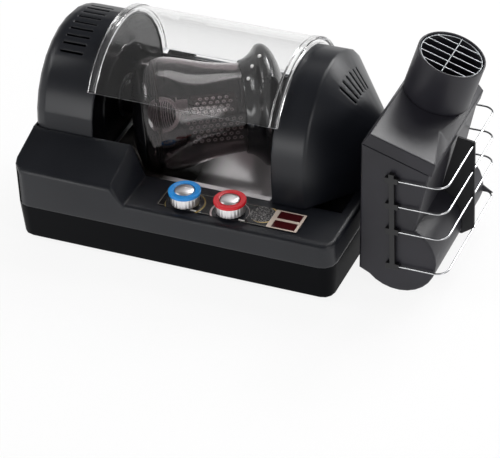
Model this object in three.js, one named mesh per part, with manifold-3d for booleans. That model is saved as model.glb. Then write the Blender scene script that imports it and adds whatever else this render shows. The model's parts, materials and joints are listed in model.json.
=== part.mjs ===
// Home coffee roaster with a tilted glass drum, a rear-hinged clear cover and a chaff collector.
// Millimetres, +X along the body from left to right, +Y from front to back, +Z up.
import * as THREE from "three";
import { mergeVertices } from "three/addons/utils/BufferGeometryUtils.js";
import Module from "manifold-3d";

const wasm = await Module();
wasm.setup();

// Driving dimensions: body
const leftHousingLength = 74;
const bayLength = 215.5;
const rightStraightLength = 38.5;
const rightConeLength = 54;
const bodyCornerRadius = 16;
const baseBottomZ = 4;
const baseTaper = 3;
const partingZ = 46.5;
const consoleZ = 75;
const consoleEdgeRadius = 4;
const wall = 2.5;
const seatGap = 0.3;
const footRadius = 10;
const footInset = 34;

// Driving dimensions: arched housings and the bay between them
const troughFloorZ = 16;
const archRadius = 97;
const archFrontY = 59;
const leftEndRadius = 15;
const rightEndRadius = 30;
const rearMargin = 1;
const bulkheadThickness = 2.5;
const bulkheadRecess = 1.2;

// Driving dimensions: shoulder block in front of the left housing
const shoulderLength = 122;
const shoulderFootLength = 136;
const shoulderFrontZ = 94.6;
const shoulderBackZ = 114;
const shoulderEdgeRadius = 5;

// Driving dimensions: drum
const drumShift = 7.75;
const drumEndReach = 20.25;
const drumEndOffset = 46.5;
const leftCapDepth = 20.54;
const rightCapDepth = 36.54;
const glassMargin = 43.5;
const glassWall = 2.5;
const capWall = 2.5;
const leftRimMargin = 27;
const rightDomeMargin = 27;
const hubRadius = 20;
const hubWall = 3;
const runningGap = 0.5;
const sheetMetal = 1;
const vaneThickness = 1.2;
const vaneHoleRadius = 1.9;
const vaneHolePitch = 7.6;
const strainerRadius = 16.5;

// Driving dimensions: cover
const coverGap = 4.5;
const coverThickness = 2.5;
const coverRimClearance = 0.6;
const coverRimHeight = 1;
const coverRimWidth = 8.5;
const coverLeftLap = 6.5;
const coverRightLap = 4.5;
const coverFrontAngle = 32;
const coverRearAngle = 178;
const hingePinRadius = 1.5;
const hingeBarrelRadius = 4.2;
const hingeBarrelLength = 24;
const hingeInset = 28;
const hingeEarThickness = 4;
const hingeDrop = 5;

// Driving dimensions: drive and air
const gearModule = 1.8;
const driveTeeth = 40;
const pinionTeeth = 10;
const gearWidth = 6;
const gearInset = 21;
const motorRadius = 17;
const motorLength = 34;
const blowerRadius = 26;
const blowerWidth = 28;
const blowerMotorLength = 16;
const impellerRadius = 20;
const impellerBlades = 8;
const outletRadius = 22;
const outletReach = 10;

// Driving dimensions: controls
const panelInset = 34;
const panelLength = 166;
const panelFrontY = 14.5;
const panelBackY = 49.5;
const panelThickness = 0.8;
const knobY = 26.5;
const timeKnobInset = 30;
const knobPitch = 54;
const knobHeight = 16;
const knobBodyRadius = 15.5;
const knobRingRadius = 19;
const knobRingHeight = 4;
const knobDomeRadius = 11.5;
const knobLift = 2.4;
const knobTravel = 1.2;
const spindleRadius = 3;
const displayLength = 26.5;
const displayDepth = 12.4;
const displayInset = 30.5;
const displayBackY = 34.5;
const displayFrontY = 17.5;
const boardZ = 60;
const boardThickness = 1.6;

// Driving dimensions: chaff collector
const barrelRadius = 44.2;
const barrelCentreZ = 44.8;
const collectorGap = 12.2;
const collectorFrontY = 49;
const collectorBackY = 212;
const collectorEdge = 1.4;
const sideFootZ = 21;
const lidTilt = 18.2;
const lidLeftInset = 29;
const lidTopZ = 198.4;
const lidLength = 77;
const lidSkirt = 16.5;
const lidLeftFlare = 4.5;
const lidRightFlare = 0.5;
const lidBevelWidest = 16.4;
const lidBevelRear = 7.5;
const lidBevelDrop = 5;
const collectorSideFootAngle = 63;
const pipeRadius = 38;
const pipeWall = 2.5;
const pipeHeight = 55;
const pipeAlongLid = 36;
const pipeY = 164.5;
const grilleBarCount = 5;
const grilleBarWidth = 1.8;
const grilleDepth = 3;
const wireRadius = 1.1;
const wireReach = 12;
const wireBendRadius = 14;
const wireHeights = [35.5, 81.4, 114.2, 147.2];
const wireStandoff = 3;
const retainerInset = 3.9;
const retainerWidth = 6;
const clipWidth = 15;
const clipHeight = 7;
const finY = 137;
const finThickness = 3;
const finReach = 2.2;
const finTopZ = 155;
const finBottomZ = 29;

// Values worked out from the driving dimensions
const rightHousingStart = leftHousingLength + bayLength;
const rightStraightEnd = rightHousingStart + rightStraightLength;
const rightConeEnd = rightStraightEnd + rightConeLength;
const bodyLength = rightConeEnd;
const axisY = archFrontY + archRadius;
const axisZ = archRadius + troughFloorZ;
const glassRadius = archRadius - glassMargin;
const leftRimRadius = archRadius - leftRimMargin;
const rightDomeRadius = archRadius - rightDomeMargin;
const bodyDepth = axisY + archRadius + rearMargin;
const coverLeftX = leftHousingLength - coverLeftLap;
const coverRightX = rightHousingStart + coverRightLap;
const gearX = leftHousingLength - gearInset;
const panelStartX = shoulderFootLength + panelInset;
const panelEndX = panelStartX + panelLength;
const timeKnobX = panelStartX + timeKnobInset;
const temperatureKnobX = timeKnobX + knobPitch;
const displayX = panelEndX - displayInset;
const barrelCentreX = bodyLength + collectorGap + barrelRadius;
const lidLeftX = barrelCentreX - lidLeftInset;
const wireOuterX = barrelCentreX + barrelRadius + wireReach;
const retainerX = barrelCentreX - retainerInset;

// The drum's tilt follows from how far its ends lie off the turning axis, near the bulkheads
const drumHalfSpan = (bayLength - leftRimRadius) / 2 + drumEndReach;
const tiltRad = Math.asin(drumEndOffset / drumHalfSpan);
const drumCentreX = leftHousingLength + bayLength / 2 - drumShift;
const glassStart = leftCapDepth - drumHalfSpan * Math.cos(tiltRad);
const glassEnd = drumHalfSpan * Math.cos(tiltRad) - rightCapDepth;
const upperStartZ = partingZ + seatGap;
const drumCentre = new THREE.Vector3(drumCentreX, axisY, axisZ);
const alongDrum = new THREE.Vector3(Math.cos(tiltRad), Math.sin(tiltRad), 0);
const acrossDrum = new THREE.Vector3(-Math.sin(tiltRad), Math.cos(tiltRad), 0);
const coverInner = archRadius + coverGap;
const coverOuter = coverInner + coverThickness;
const boardTop = boardZ + boardThickness;
const arcSteps = 14;
const roundSteps = 16;
const capSteps = 20;
const glassSteps = 22;

// Finishes
function finish(color, roughness, metalness, opacity = 1) {
  return new THREE.MeshStandardMaterial({ color, roughness, metalness, opacity, transparent: opacity < 1 });
}
const charcoal = finish("#3a3b3d", 0.45, 0.1);
const darkBase = finish("#1b1c1e", 0.5, 0.1);
const gloss = finish("#101113", 0.15, 0.1);
const stainless = finish("#c9cacb", 0.25, 0.95);
const chrome = finish("#e4e6e8", 0.1, 1);
const clear = finish("#eef2f4", 0.05, 0, 0.25);
const smoked = finish("#8a8788", 0.05, 0, 0.35);
const rubber = finish("#161616", 0.9, 0);
const white = finish("#f2f2f0", 0.3, 0.1);
const blue = finish("#2f9fdc", 0.35, 0);
const red = finish("#e0202c", 0.35, 0);
const maroon = finish("#5a1418", 0.2, 0);
const green = finish("#1f5a35", 0.6, 0);
const nylon = finish("#d9d4c4", 0.5, 0);
const ceramic = finish("#e8e2d6", 0.8, 0);
const steel = finish("#9a9da0", 0.4, 0.9);

const machine = new THREE.Group();

// Solids and booleans
function toSolid(geometry) {
  const bare = geometry.clone();
  for (const name of ["normal", "uv"]) {
    bare.deleteAttribute(name);
  }
  const merged = mergeVertices(bare, 1e-4);
  const body = new wasm.Mesh({
    numProp: 3,
    vertProperties: new Float32Array(merged.attributes.position.array),
    triVerts: new Uint32Array(merged.index.array),
  });
  return new wasm.Manifold(body);
}

function toGeometry(solid) {
  const body = solid.getMesh();
  const geometry = new THREE.BufferGeometry();
  geometry.setAttribute("position", new THREE.BufferAttribute(new Float32Array(body.vertProperties), 3));
  geometry.setIndex(new THREE.BufferAttribute(new Uint32Array(body.triVerts), 1));
  return geometry;
}

function join(...solids) {
  return solids.reduce((whole, next) => whole.add(next));
}

function cut(solid, ...tools) {
  return tools.reduce((whole, next) => whole.subtract(next), solid);
}

function place(name, solid, material, parent = machine) {
  const mesh = new THREE.Mesh(toGeometry(solid), material);
  mesh.name = name;
  parent.add(mesh);
  return mesh;
}

// Outlines
function arc(centreA, centreB, radius, startDegrees, endDegrees, steps) {
  const points = [];
  for (let i = 0; i <= steps; i += 1) {
    const angle = THREE.MathUtils.degToRad(startDegrees + ((endDegrees - startDegrees) * i) / steps);
    points.push(new THREE.Vector2(centreA + radius * Math.cos(angle), centreB + radius * Math.sin(angle)));
  }
  return points;
}

function roundedRectangle(x0, y0, x1, y1, radius, steps = 3) {
  return [
    ...arc(x1 - radius, y0 + radius, radius, -90, 0, steps),
    ...arc(x1 - radius, y1 - radius, radius, 0, 90, steps),
    ...arc(x0 + radius, y1 - radius, radius, 90, 180, steps),
    ...arc(x0 + radius, y0 + radius, radius, 180, 270, steps),
  ];
}

function signedArea(points) {
  return THREE.ShapeUtils.area(points);
}

// Moves each corner of a closed outline inwards by a distance, or outwards where it is negative
function inset(points, distance) {
  const turn = signedArea(points) > 0 ? 1 : -1;
  const count = points.length;
  return points.map((point, i) => {
    const before = point.clone().sub(points[(i + count - 1) % count]).normalize();
    const after = points[(i + 1) % count].clone().sub(point).normalize();
    const inwardBefore = new THREE.Vector2(-before.y * turn, before.x * turn);
    const inwardAfter = new THREE.Vector2(-after.y * turn, after.x * turn);
    const middle = inwardBefore.clone().add(inwardAfter).normalize();
    const stretch = Math.max(middle.dot(inwardBefore), 0.5);
    return point.clone().addScaledVector(middle, distance / stretch);
  });
}

// Straight prisms: an outline in one plane, drawn out along the third axis
const planes = {
  XY: new THREE.Matrix4(),
  YZ: new THREE.Matrix4().makeBasis(
    new THREE.Vector3(0, 1, 0), new THREE.Vector3(0, 0, 1), new THREE.Vector3(1, 0, 0)),
  XZ: new THREE.Matrix4().makeBasis(
    new THREE.Vector3(1, 0, 0), new THREE.Vector3(0, 0, 1), new THREE.Vector3(0, -1, 0)),
};

function prism(plane, outline, start, end, holes = []) {
  const shape = new THREE.Shape(outline);
  shape.holes = holes.map((hole) => new THREE.Path(hole));
  const options = { depth: end - start, bevelEnabled: false, curveSegments: 1 };
  const geometry = new THREE.ExtrudeGeometry(shape, options);
  const backwards = plane === "XZ";
  geometry.translate(0, 0, backwards ? -end : start);
  geometry.applyMatrix4(planes[plane]);
  return toSolid(geometry);
}

function block(x0, x1, y0, y1, z0, z1) {
  const geometry = new THREE.BoxGeometry(x1 - x0, y1 - y0, z1 - z0);
  geometry.translate((x0 + x1) / 2, (y0 + y1) / 2, (z0 + z1) / 2);
  return toSolid(geometry);
}

// Round rods and tubes along X or Z
function turned(profile, axis, steps = roundSteps) {
  const geometry = new THREE.LatheGeometry(profile.map(([r, h]) => new THREE.Vector2(r, h)), steps);
  if (axis === "X") {
    geometry.rotateZ(-Math.PI / 2);
  }
  if (axis === "Z") {
    geometry.rotateX(Math.PI / 2);
  }
  return geometry;
}

function rodX(y, z, radius, x0, x1, steps = roundSteps) {
  const geometry = turned([[0, x0], [radius, x0], [radius, x1], [0, x1]], "X", steps);
  geometry.translate(0, y, z);
  return toSolid(geometry);
}

function rodZ(x, y, radius, z0, z1, steps = roundSteps) {
  const geometry = turned([[0, z0], [radius, z0], [radius, z1], [0, z1]], "Z", steps);
  geometry.translate(x, y, 0);
  return toSolid(geometry);
}

// Lofts: rings of points with equal counts, joined in order and closed at both ends
function loft(rings) {
  const count = rings[0].length;
  const positions = rings.flat().flatMap((p) => [p.x, p.y, p.z]);
  const index = [];
  for (let i = 0; i + 1 < rings.length; i += 1) {
    for (let j = 0; j < count; j += 1) {
      const next = (j + 1) % count;
      const a = i * count + j;
      const b = i * count + next;
      const c = (i + 1) * count + j;
      const d = (i + 1) * count + next;
      index.push(a, b, d, a, d, c);
    }
  }
  const closeEnd = (ring, offset, flip) => {
    const middle = ring.reduce((sum, p) => sum.add(p), new THREE.Vector3()).divideScalar(count);
    const centre = positions.length / 3;
    positions.push(middle.x, middle.y, middle.z);
    for (let j = 0; j < count; j += 1) {
      const next = (j + 1) % count;
      index.push(centre, offset + (flip ? next : j), offset + (flip ? j : next));
    }
  };
  closeEnd(rings[0], 0, true);
  closeEnd(rings.at(-1), (rings.length - 1) * count, false);
  return facingOut(positions, index);
}

// A wall round an open passage: outer rings one way and inner rings back
function loftTube(rings) {
  const count = rings[0].length;
  const positions = rings.flat().flatMap((p) => [p.x, p.y, p.z]);
  const index = [];
  for (let i = 0; i < rings.length; i += 1) {
    const k = (i + 1) % rings.length;
    for (let j = 0; j < count; j += 1) {
      const next = (j + 1) % count;
      const a = i * count + j;
      const b = i * count + next;
      const c = k * count + j;
      const d = k * count + next;
      index.push(a, b, d, a, d, c);
    }
  }
  return facingOut(positions, index);
}

function facingOut(positions, index) {
  const geometry = new THREE.BufferGeometry();
  geometry.setAttribute("position", new THREE.Float32BufferAttribute(positions, 3));
  geometry.setIndex(index);
  let volume = 0;
  const corner = (i) => new THREE.Vector3().fromArray(positions, 3 * index[i]);
  for (let i = 0; i < index.length; i += 3) {
    volume += corner(i).dot(corner(i + 1).cross(corner(i + 2)));
  }
  if (volume < 0) {
    for (let i = 0; i < index.length; i += 3) {
      [index[i + 1], index[i + 2]] = [index[i + 2], index[i + 1]];
    }
    geometry.setIndex(index);
  }
  return toSolid(geometry);
}

const inPlaneX = (outline, x) => outline.map((p) => new THREE.Vector3(x, p.x, p.y));
const inPlaneY = (outline, y) => outline.map((p) => new THREE.Vector3(p.x, y, p.y));
const inPlaneZ = (outline, z) => outline.map((p) => new THREE.Vector3(p.x, p.y, z));

// Lower base: a tapered tray with a floor, vents under the blower and a gland hole at the back
const bodyOutline = roundedRectangle(0, 0, bodyLength, bodyDepth, bodyCornerRadius);
const ductHalfWidth = 20;
const blowerX = 18;
const blowerY = axisY + ductHalfWidth + blowerRadius + 6;
const blowerZ = baseBottomZ + wall + seatGap + blowerRadius + 9.2;
const glandInset = 52;
const glandX = bodyLength - glandInset;
const glandZ = 26;
const glandRadius = 8;

function lowerBase() {
  const outer = loft([
    inPlaneZ(inset(bodyOutline, baseTaper + 2), baseBottomZ),
    inPlaneZ(inset(bodyOutline, baseTaper), baseBottomZ + 2),
    inPlaneZ(bodyOutline, partingZ),
  ]);
  const inner = loft([
    inPlaneZ(inset(bodyOutline, baseTaper + 2 + wall), baseBottomZ + wall),
    inPlaneZ(inset(bodyOutline, wall), partingZ + 1),
  ]);
  const ventLength = 34;
  const ventPitch = 9;
  const vents = [];
  for (let i = 0; i < 5; i += 1) {
    const x = footInset + footRadius + 4 + i * ventPitch;
    vents.push(block(x, x + 4, blowerY - ventLength / 2, blowerY + ventLength / 2, 0, baseBottomZ + 2 * wall));
  }
  const glandHole = prism("XZ", arc(glandX, glandZ, glandRadius, 0, 330, 11), bodyDepth - 12, bodyDepth + 12);
  return cut(outer, inner, glandHole, ...vents);
}
place("lower_base", lowerBase(), darkBase);

// Gland that the mains lead passes through at the back of the base
function cordGland() {
  const bushRadius = glandRadius * Math.cos(Math.PI / 12) - seatGap;
  const profile = [
    [bushRadius - 3, -8], [bushRadius, -8], [bushRadius, 0], [glandRadius + 3, 0],
    [glandRadius + 3, 3], [bushRadius - 3, 3], [bushRadius - 3, -8],
  ];
  const geometry = turned(profile, "Y", 12);
  const rearFace = bodyDepth - (baseTaper * (partingZ - glandZ)) / (partingZ - baseBottomZ);
  geometry.translate(glandX, rearFace + 1.2, glandZ);
  return toSolid(geometry);
}
place("cord_gland", cordGland(), rubber);

// Four rubber feet under the corners
for (const [side, x] of [["left", footInset], ["right", bodyLength - footInset]]) {
  for (const [end, y] of [["front", footInset], ["rear", bodyDepth - footInset]]) {
    place(`foot_${end}_${side}`, rodZ(x, y, footRadius, 0, baseBottomZ - seatGap, 12), rubber);
  }
}

// Shoulder: the raised block whose sloping top leads up to the left housing
function shoulderTop(y) {
  const rise = (shoulderBackZ - shoulderFrontZ) / archFrontY;
  const straight = Math.min(shoulderFrontZ + rise * y, shoulderBackZ);
  if (y >= shoulderEdgeRadius) {
    return straight;
  }
  const reach = 1 - y / shoulderEdgeRadius;
  return straight - shoulderEdgeRadius * (1 - Math.sqrt(1 - reach * reach));
}

function shoulder(margin, bottom) {
  const rings = [];
  const stations = [0, 0.12, 0.45, 1].map((share) => share * shoulderEdgeRadius);
  stations.push(archFrontY - margin + (margin > 0 ? 0 : wall));
  for (const y of stations) {
    const station = y === stations.at(-1) ? y : y + margin;
    const top = shoulderTop(y) - margin;
    const corner = 2.5;
    rings.push(inPlaneY([
      new THREE.Vector2(margin, bottom),
      new THREE.Vector2(shoulderFootLength - margin, bottom),
      new THREE.Vector2(shoulderFootLength - margin, consoleZ - margin),
      new THREE.Vector2(shoulderLength - margin + 0.9, top - corner),
      new THREE.Vector2(shoulderLength - margin - corner, top),
      new THREE.Vector2(margin, top),
    ], station));
  }
  return loft(rings);
}

// Upper shell: console, shoulder and the block under the left housing, open below and over the bay
const bayStart = leftHousingLength + 2;
const bayEnd = rightHousingStart - 2;
const troughRadius = archRadius - 2;
const troughHalf = Math.sqrt(troughRadius ** 2 - (axisZ - consoleZ) ** 2);

function displayHole(frontY, margin, z0, z1) {
  return block(displayX - margin, displayX + displayLength + margin, frontY - margin,
    frontY + displayDepth + margin, z0, z1);
}

const boardPosts = [[panelStartX + 4, 9], [panelEndX - 4, 9], [panelStartX + 4, 53], [panelEndX - 4, 53]];

function upperShell() {
  const edge = consoleEdgeRadius;
  const slab = loft([
    inPlaneZ(bodyOutline, upperStartZ),
    inPlaneZ(bodyOutline, consoleZ - edge),
    inPlaneZ(inset(bodyOutline, 0.3 * edge), consoleZ - 0.3 * edge),
    inPlaneZ(inset(bodyOutline, edge), consoleZ),
  ]);
  const slabInner = loft([
    inPlaneZ(inset(bodyOutline, wall), upperStartZ - 1),
    inPlaneZ(inset(bodyOutline, wall), consoleZ - wall),
  ]);
  const bodyPrism = prism("XY", bodyOutline, 0, axisZ * 2);
  const blockOutline = block(0, leftHousingLength, archFrontY, axisY + archRadius, upperStartZ, shoulderBackZ);
  const innerPrism = prism("XY", inset(bodyOutline, wall), 0, axisZ * 2);
  const blockInner = block(wall, leftHousingLength + 1, archFrontY + wall, axisY + archRadius - wall,
    consoleZ, shoulderBackZ + 1).intersect(innerPrism);
  const underBlock = block(wall, leftHousingLength - 5, archFrontY + wall, axisY + archRadius - wall,
    upperStartZ - 1, consoleZ + 1).intersect(innerPrism);
  const underRight = block(rightHousingStart + 5, bodyLength - 14, archFrontY + 8, axisY + archRadius - 8,
    upperStartZ - 1, consoleZ + 1);
  const bay = block(bayStart, bayEnd, axisY - troughHalf - 1.6, axisY + troughHalf + 1.6,
    upperStartZ - 1, consoleZ + 1);
  const shoulderInner = shoulder(wall, upperStartZ - 1);
  const outer = join(slab, shoulder(0, upperStartZ).intersect(bodyPrism), blockOutline.intersect(bodyPrism));
  const posts = boardPosts.map(([x, y]) => rodZ(x, y, 3.5, boardTop + seatGap, consoleZ - wall + 0.5, 12));
  const holes = [
    rodZ(timeKnobX, knobY, spindleRadius + 2, boardTop, consoleZ + 1, 12),
    rodZ(temperatureKnobX, knobY, spindleRadius + 2, boardTop, consoleZ + 1, 12),
    displayHole(displayBackY, seatGap, boardTop, consoleZ + 1),
    displayHole(displayFrontY, seatGap, boardTop, consoleZ + 1),
  ];
  const hollow = cut(outer, slabInner, shoulderInner, blockInner, underBlock, underRight, bay);
  return cut(join(hollow, ...posts), ...holes);
}
place("upper_shell", upperShell(), charcoal);

// Arch outline in the YZ plane: two upright legs and a half circle round the drum's axis
function archOutline(radius, bottomZ) {
  if (bottomZ > axisZ) {
    const low = THREE.MathUtils.radToDeg(Math.asin((bottomZ - axisZ) / radius));
    return arc(axisY, axisZ, radius, 180 - low, low, arcSteps);
  }
  return [
    new THREE.Vector2(axisY - radius, bottomZ),
    ...arc(axisY, axisZ, radius, 180, 0, arcSteps),
    new THREE.Vector2(axisY + radius, bottomZ),
  ];
}

// Slot through a wall, along X at one angle of the arch
function archSlot(startX, endX, radiusStart, radiusEnd, angle, width) {
  const depth = 16;
  const lean = Math.atan2(radiusEnd - radiusStart, endX - startX);
  const geometry = new THREE.BoxGeometry(Math.hypot(endX - startX, radiusEnd - radiusStart), width, depth);
  geometry.rotateY(-lean);
  geometry.translate((startX + endX) / 2, 0, (radiusStart + radiusEnd) / 2);
  geometry.rotateX(THREE.MathUtils.degToRad(90 - angle));
  geometry.translate(0, axisY, axisZ);
  return toSolid(geometry);
}

// Left housing: arched shell with a rounded end wall and a fan of nine slots
function leftHousing() {
  const bottom = shoulderBackZ + seatGap;
  const outerRings = [];
  const innerRings = [];
  for (let i = 0; i <= 3; i += 1) {
    const turn = (i * Math.PI) / 6;
    const x = leftEndRadius * (1 - Math.cos(turn));
    const drop = leftEndRadius * (1 - Math.sin(turn));
    outerRings.push(inPlaneX(archOutline(archRadius - drop, bottom), x));
    innerRings.push(inPlaneX(archOutline(archRadius - wall - drop, bottom - 1), x + wall));
  }
  outerRings.push(inPlaneX(archOutline(archRadius, bottom), leftHousingLength));
  innerRings.push(inPlaneX(archOutline(archRadius - wall, bottom - 1), leftHousingLength + 1));
  const slots = [];
  for (let i = 0; i < 9; i += 1) {
    const angle = 56.4 + 6.4 * i;
    slots.push(archSlot(leftEndRadius + 5, leftHousingLength - 26, archRadius, archRadius, angle, 2.6));
  }
  return cut(loft(outerRings), loft(innerRings), ...slots);
}
place("left_housing", leftHousing(), charcoal);

// Right housing: the same arch, then a steep cone towards the outlet, with six slots down the cone
function rightHousing() {
  const bottom = consoleZ + seatGap;
  const coneLength = rightConeEnd - rightStraightEnd;
  const slope = (archRadius - rightEndRadius) / coneLength;
  const coneWall = wall * Math.sqrt(1 + slope * slope);
  const coneRadius = (x) => archRadius - slope * (x - rightStraightEnd);
  const crease = 1.5;
  const outer = loft([
    inPlaneX(archOutline(archRadius, bottom), rightHousingStart),
    inPlaneX(archOutline(archRadius, bottom), rightStraightEnd - crease),
    inPlaneX(archOutline(archRadius - 0.7, bottom), rightStraightEnd),
    inPlaneX(archOutline(coneRadius(rightStraightEnd + crease) - 0.4, bottom), rightStraightEnd + crease),
    inPlaneX(archOutline(coneRadius(rightConeEnd - 2), bottom), rightConeEnd - 2),
    inPlaneX(archOutline(rightEndRadius - 1.2, bottom), rightConeEnd),
  ]);
  const innerCrease = rightStraightEnd - (coneWall - wall) / slope;
  const innerEnd = rightConeEnd - wall;
  const inner = loft([
    inPlaneX(archOutline(archRadius - wall, bottom - 1), rightHousingStart - 1),
    inPlaneX(archOutline(archRadius - wall, bottom - 1), innerCrease),
    inPlaneX(archOutline(coneRadius(innerEnd) - coneWall, bottom - 1), innerEnd),
  ]);
  const slotStart = rightStraightEnd + 0.26 * rightConeLength;
  const slotEnd = rightStraightEnd + 0.574 * rightConeLength;
  const slots = [];
  for (let i = 0; i < 6; i += 1) {
    slots.push(archSlot(slotStart, slotEnd, coneRadius(slotStart), coneRadius(slotEnd), 76 + 7.2 * i, 2.6));
  }
  const outlet = rodX(axisY, axisZ, outletRadius + seatGap, rightConeEnd - 12, rightConeEnd + 4);
  return cut(outer, inner, outlet, ...slots);
}
place("right_housing", rightHousing(), charcoal);

// Bulkheads that close the housings towards the bay and carry the drum's bearings
const bearingOuter = hubRadius + runningGap + 5;

function bulkhead(x0, lipSide) {
  const outline = archOutline(archRadius - wall - seatGap, consoleZ + seatGap);
  const plate = prism("YZ", outline, x0, x0 + bulkheadThickness);
  const lipRadius = archRadius - 31;
  const portCircle = (bearingOuter + archRadius) / 2 - 17.25;
  const lipX = lipSide > 0 ? x0 + bulkheadThickness - 0.5 : x0 - 1.5;
  const below = block(x0 - 4, x0 + 8, axisY - 80, axisY + 80, 0, consoleZ + seatGap);
  const lip = cut(
    rodX(axisY, axisZ, lipRadius, lipX, lipX + 2), rodX(axisY, axisZ, lipRadius - 4, lipX - 1, lipX + 3), below,
  );
  const bore = rodX(axisY, axisZ, bearingOuter + seatGap, x0 - 4, x0 + bulkheadThickness + 4);
  const ports = [];
  for (let i = 0; i < 6; i += 1) {
    const angle = (i * Math.PI) / 3;
    ports.push(rodX(axisY + portCircle * Math.cos(angle), axisZ + portCircle * Math.sin(angle), 7.5,
      x0 - 4, x0 + bulkheadThickness + 4, 8));
  }
  return lipSide > 0 ? cut(join(plate, lip), bore) : cut(join(plate, lip), bore, ...ports);
}
const leftBulkheadX = leftHousingLength - bulkheadRecess - bulkheadThickness;
const rightBulkheadX = rightHousingStart + bulkheadRecess;
place("left_bulkhead", bulkhead(leftBulkheadX, 1), gloss);
place("right_bulkhead", bulkhead(rightBulkheadX, -1), gloss);

// Flanged bushes that the drum's hubs turn in
function bearing(x0, x1, flangeX0, flangeX1) {
  const bore = hubRadius + runningGap;
  return cut(
    join(rodX(axisY, axisZ, bearingOuter, x0, x1), rodX(axisY, axisZ, bearingOuter + 4, flangeX0, flangeX1)),
    rodX(axisY, axisZ, bore, x0 - 2, x1 + 2),
  );
}
const leftBearingEnd = leftBulkheadX + bulkheadThickness + 1.5;
place("left_bearing", bearing(leftBulkheadX - 4, leftBearingEnd,
  leftBulkheadX - 4, leftBulkheadX - seatGap), nylon);
const rightBearingEnd = rightBulkheadX + bulkheadThickness + 4;
place("right_bearing", bearing(rightBulkheadX - 1.5, rightBearingEnd,
  rightBulkheadX + bulkheadThickness + seatGap, rightBearingEnd), nylon);

// Rear panel of the bay, with ears that hold the cover's hinge pin
const panelBack = axisY + archRadius;
const hingeY = axisY + coverInner + coverThickness / 2;
const coverRearZ = axisZ + coverInner * Math.sin(THREE.MathUtils.degToRad(180 - coverRearAngle));
const hingeZ = coverRearZ - hingeDrop;
const hingeCentres = [coverLeftX + hingeInset, coverRightX - hingeInset];
const earGap = 0.4;

function rearPanel() {
  const panel = block(leftHousingLength + seatGap, rightHousingStart - seatGap, panelBack - wall, panelBack,
    consoleZ + seatGap, hingeZ + 2);
  const ears = [];
  const bores = [];
  for (const centre of hingeCentres) {
    for (const side of [-1, 1]) {
      const near = centre + side * (hingeBarrelLength / 2 + earGap);
      const far = near + side * hingeEarThickness;
      const outline = [
        new THREE.Vector2(panelBack - 1, hingeZ - 11),
        new THREE.Vector2(panelBack, hingeZ - 11),
        ...arc(hingeY, hingeZ, hingeBarrelRadius, -50, 90, 5),
        new THREE.Vector2(panelBack - 1, hingeZ + 2),
      ];
      ears.push(prism("YZ", outline, Math.min(near, far), Math.max(near, far)));
    }
  }
  bores.push(rodX(hingeY, hingeZ, hingePinRadius + seatGap, coverLeftX, coverRightX, 10));
  return cut(join(panel, ...ears), ...bores);
}
place("rear_panel", rearPanel(), gloss);

const pinReach = hingeBarrelLength / 2 + earGap + hingeEarThickness + 1.5;
const pinStart = hingeCentres[0] - pinReach;
const pinEnd = hingeCentres[1] + pinReach;
place("hinge_pin", rodX(hingeY, hingeZ, hingePinRadius, pinStart, pinEnd, 12), steel);

// Stainless tray under the drum: flanges on the console level, a round trough with a bead, closed ends
function bayTray() {
  const flangeZ = consoleZ + seatGap;
  const trayFront = archFrontY + wall + seatGap;
  const trayBack = panelBack - wall - seatGap;
  const outerRadius = troughRadius + sheetMetal;
  const startAngle = THREE.MathUtils.radToDeg(Math.asin((flangeZ - axisZ) / outerRadius));
  const innerAngle = THREE.MathUtils.radToDeg(Math.asin((flangeZ + sheetMetal - axisZ) / troughRadius));
  const outline = [
    new THREE.Vector2(trayFront, flangeZ),
    ...arc(axisY, axisZ, outerRadius, -180 - startAngle, startAngle, 14),
    new THREE.Vector2(trayBack, flangeZ),
    new THREE.Vector2(trayBack, flangeZ + sheetMetal),
    ...arc(axisY, axisZ, troughRadius, innerAngle, -180 - innerAngle, 14),
    new THREE.Vector2(trayFront, flangeZ + sheetMetal),
  ];
  const sheet = prism("YZ", outline, bayStart + seatGap + 1.2, bayEnd - seatGap - 1.2);
  const endOutline = arc(axisY, axisZ, outerRadius - 0.2, -180 - startAngle, startAngle, 14);
  const ends = [bayStart + seatGap + 1.2, bayEnd - seatGap - 1.2 - sheetMetal]
    .map((x) => prism("YZ", endOutline, x, x + sheetMetal));
  return join(sheet, ...ends);
}
place("bay_tray", bayTray(), stainless);

// Console plate, its two display windows and the circuit board below
const panelZ = consoleZ + seatGap;
const panelTop = panelZ + panelThickness;

function consolePlate() {
  const outline = roundedRectangle(panelStartX, panelFrontY, panelEndX, panelBackY, 3);
  const plate = prism("XY", outline, panelZ, panelTop);
  return cut(
    plate,
    rodZ(timeKnobX, knobY, spindleRadius + 1.2, panelZ - 1, panelTop + 1, 12),
    rodZ(temperatureKnobX, knobY, spindleRadius + 1.2, panelZ - 1, panelTop + 1, 12),
    displayHole(displayBackY, seatGap, panelZ - 1, panelTop + 1),
    displayHole(displayFrontY, seatGap, panelZ - 1, panelTop + 1),
  );
}
place("console_plate", consolePlate(), gloss);

for (const [name, frontY] of [["time_display", displayBackY], ["temperature_display", displayFrontY]]) {
  place(name, displayHole(frontY, 0, boardTop + seatGap, panelTop + 0.3), maroon);
}
place("control_board", block(panelStartX, panelEndX, 4.5, 56, boardZ, boardTop), green);

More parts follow.
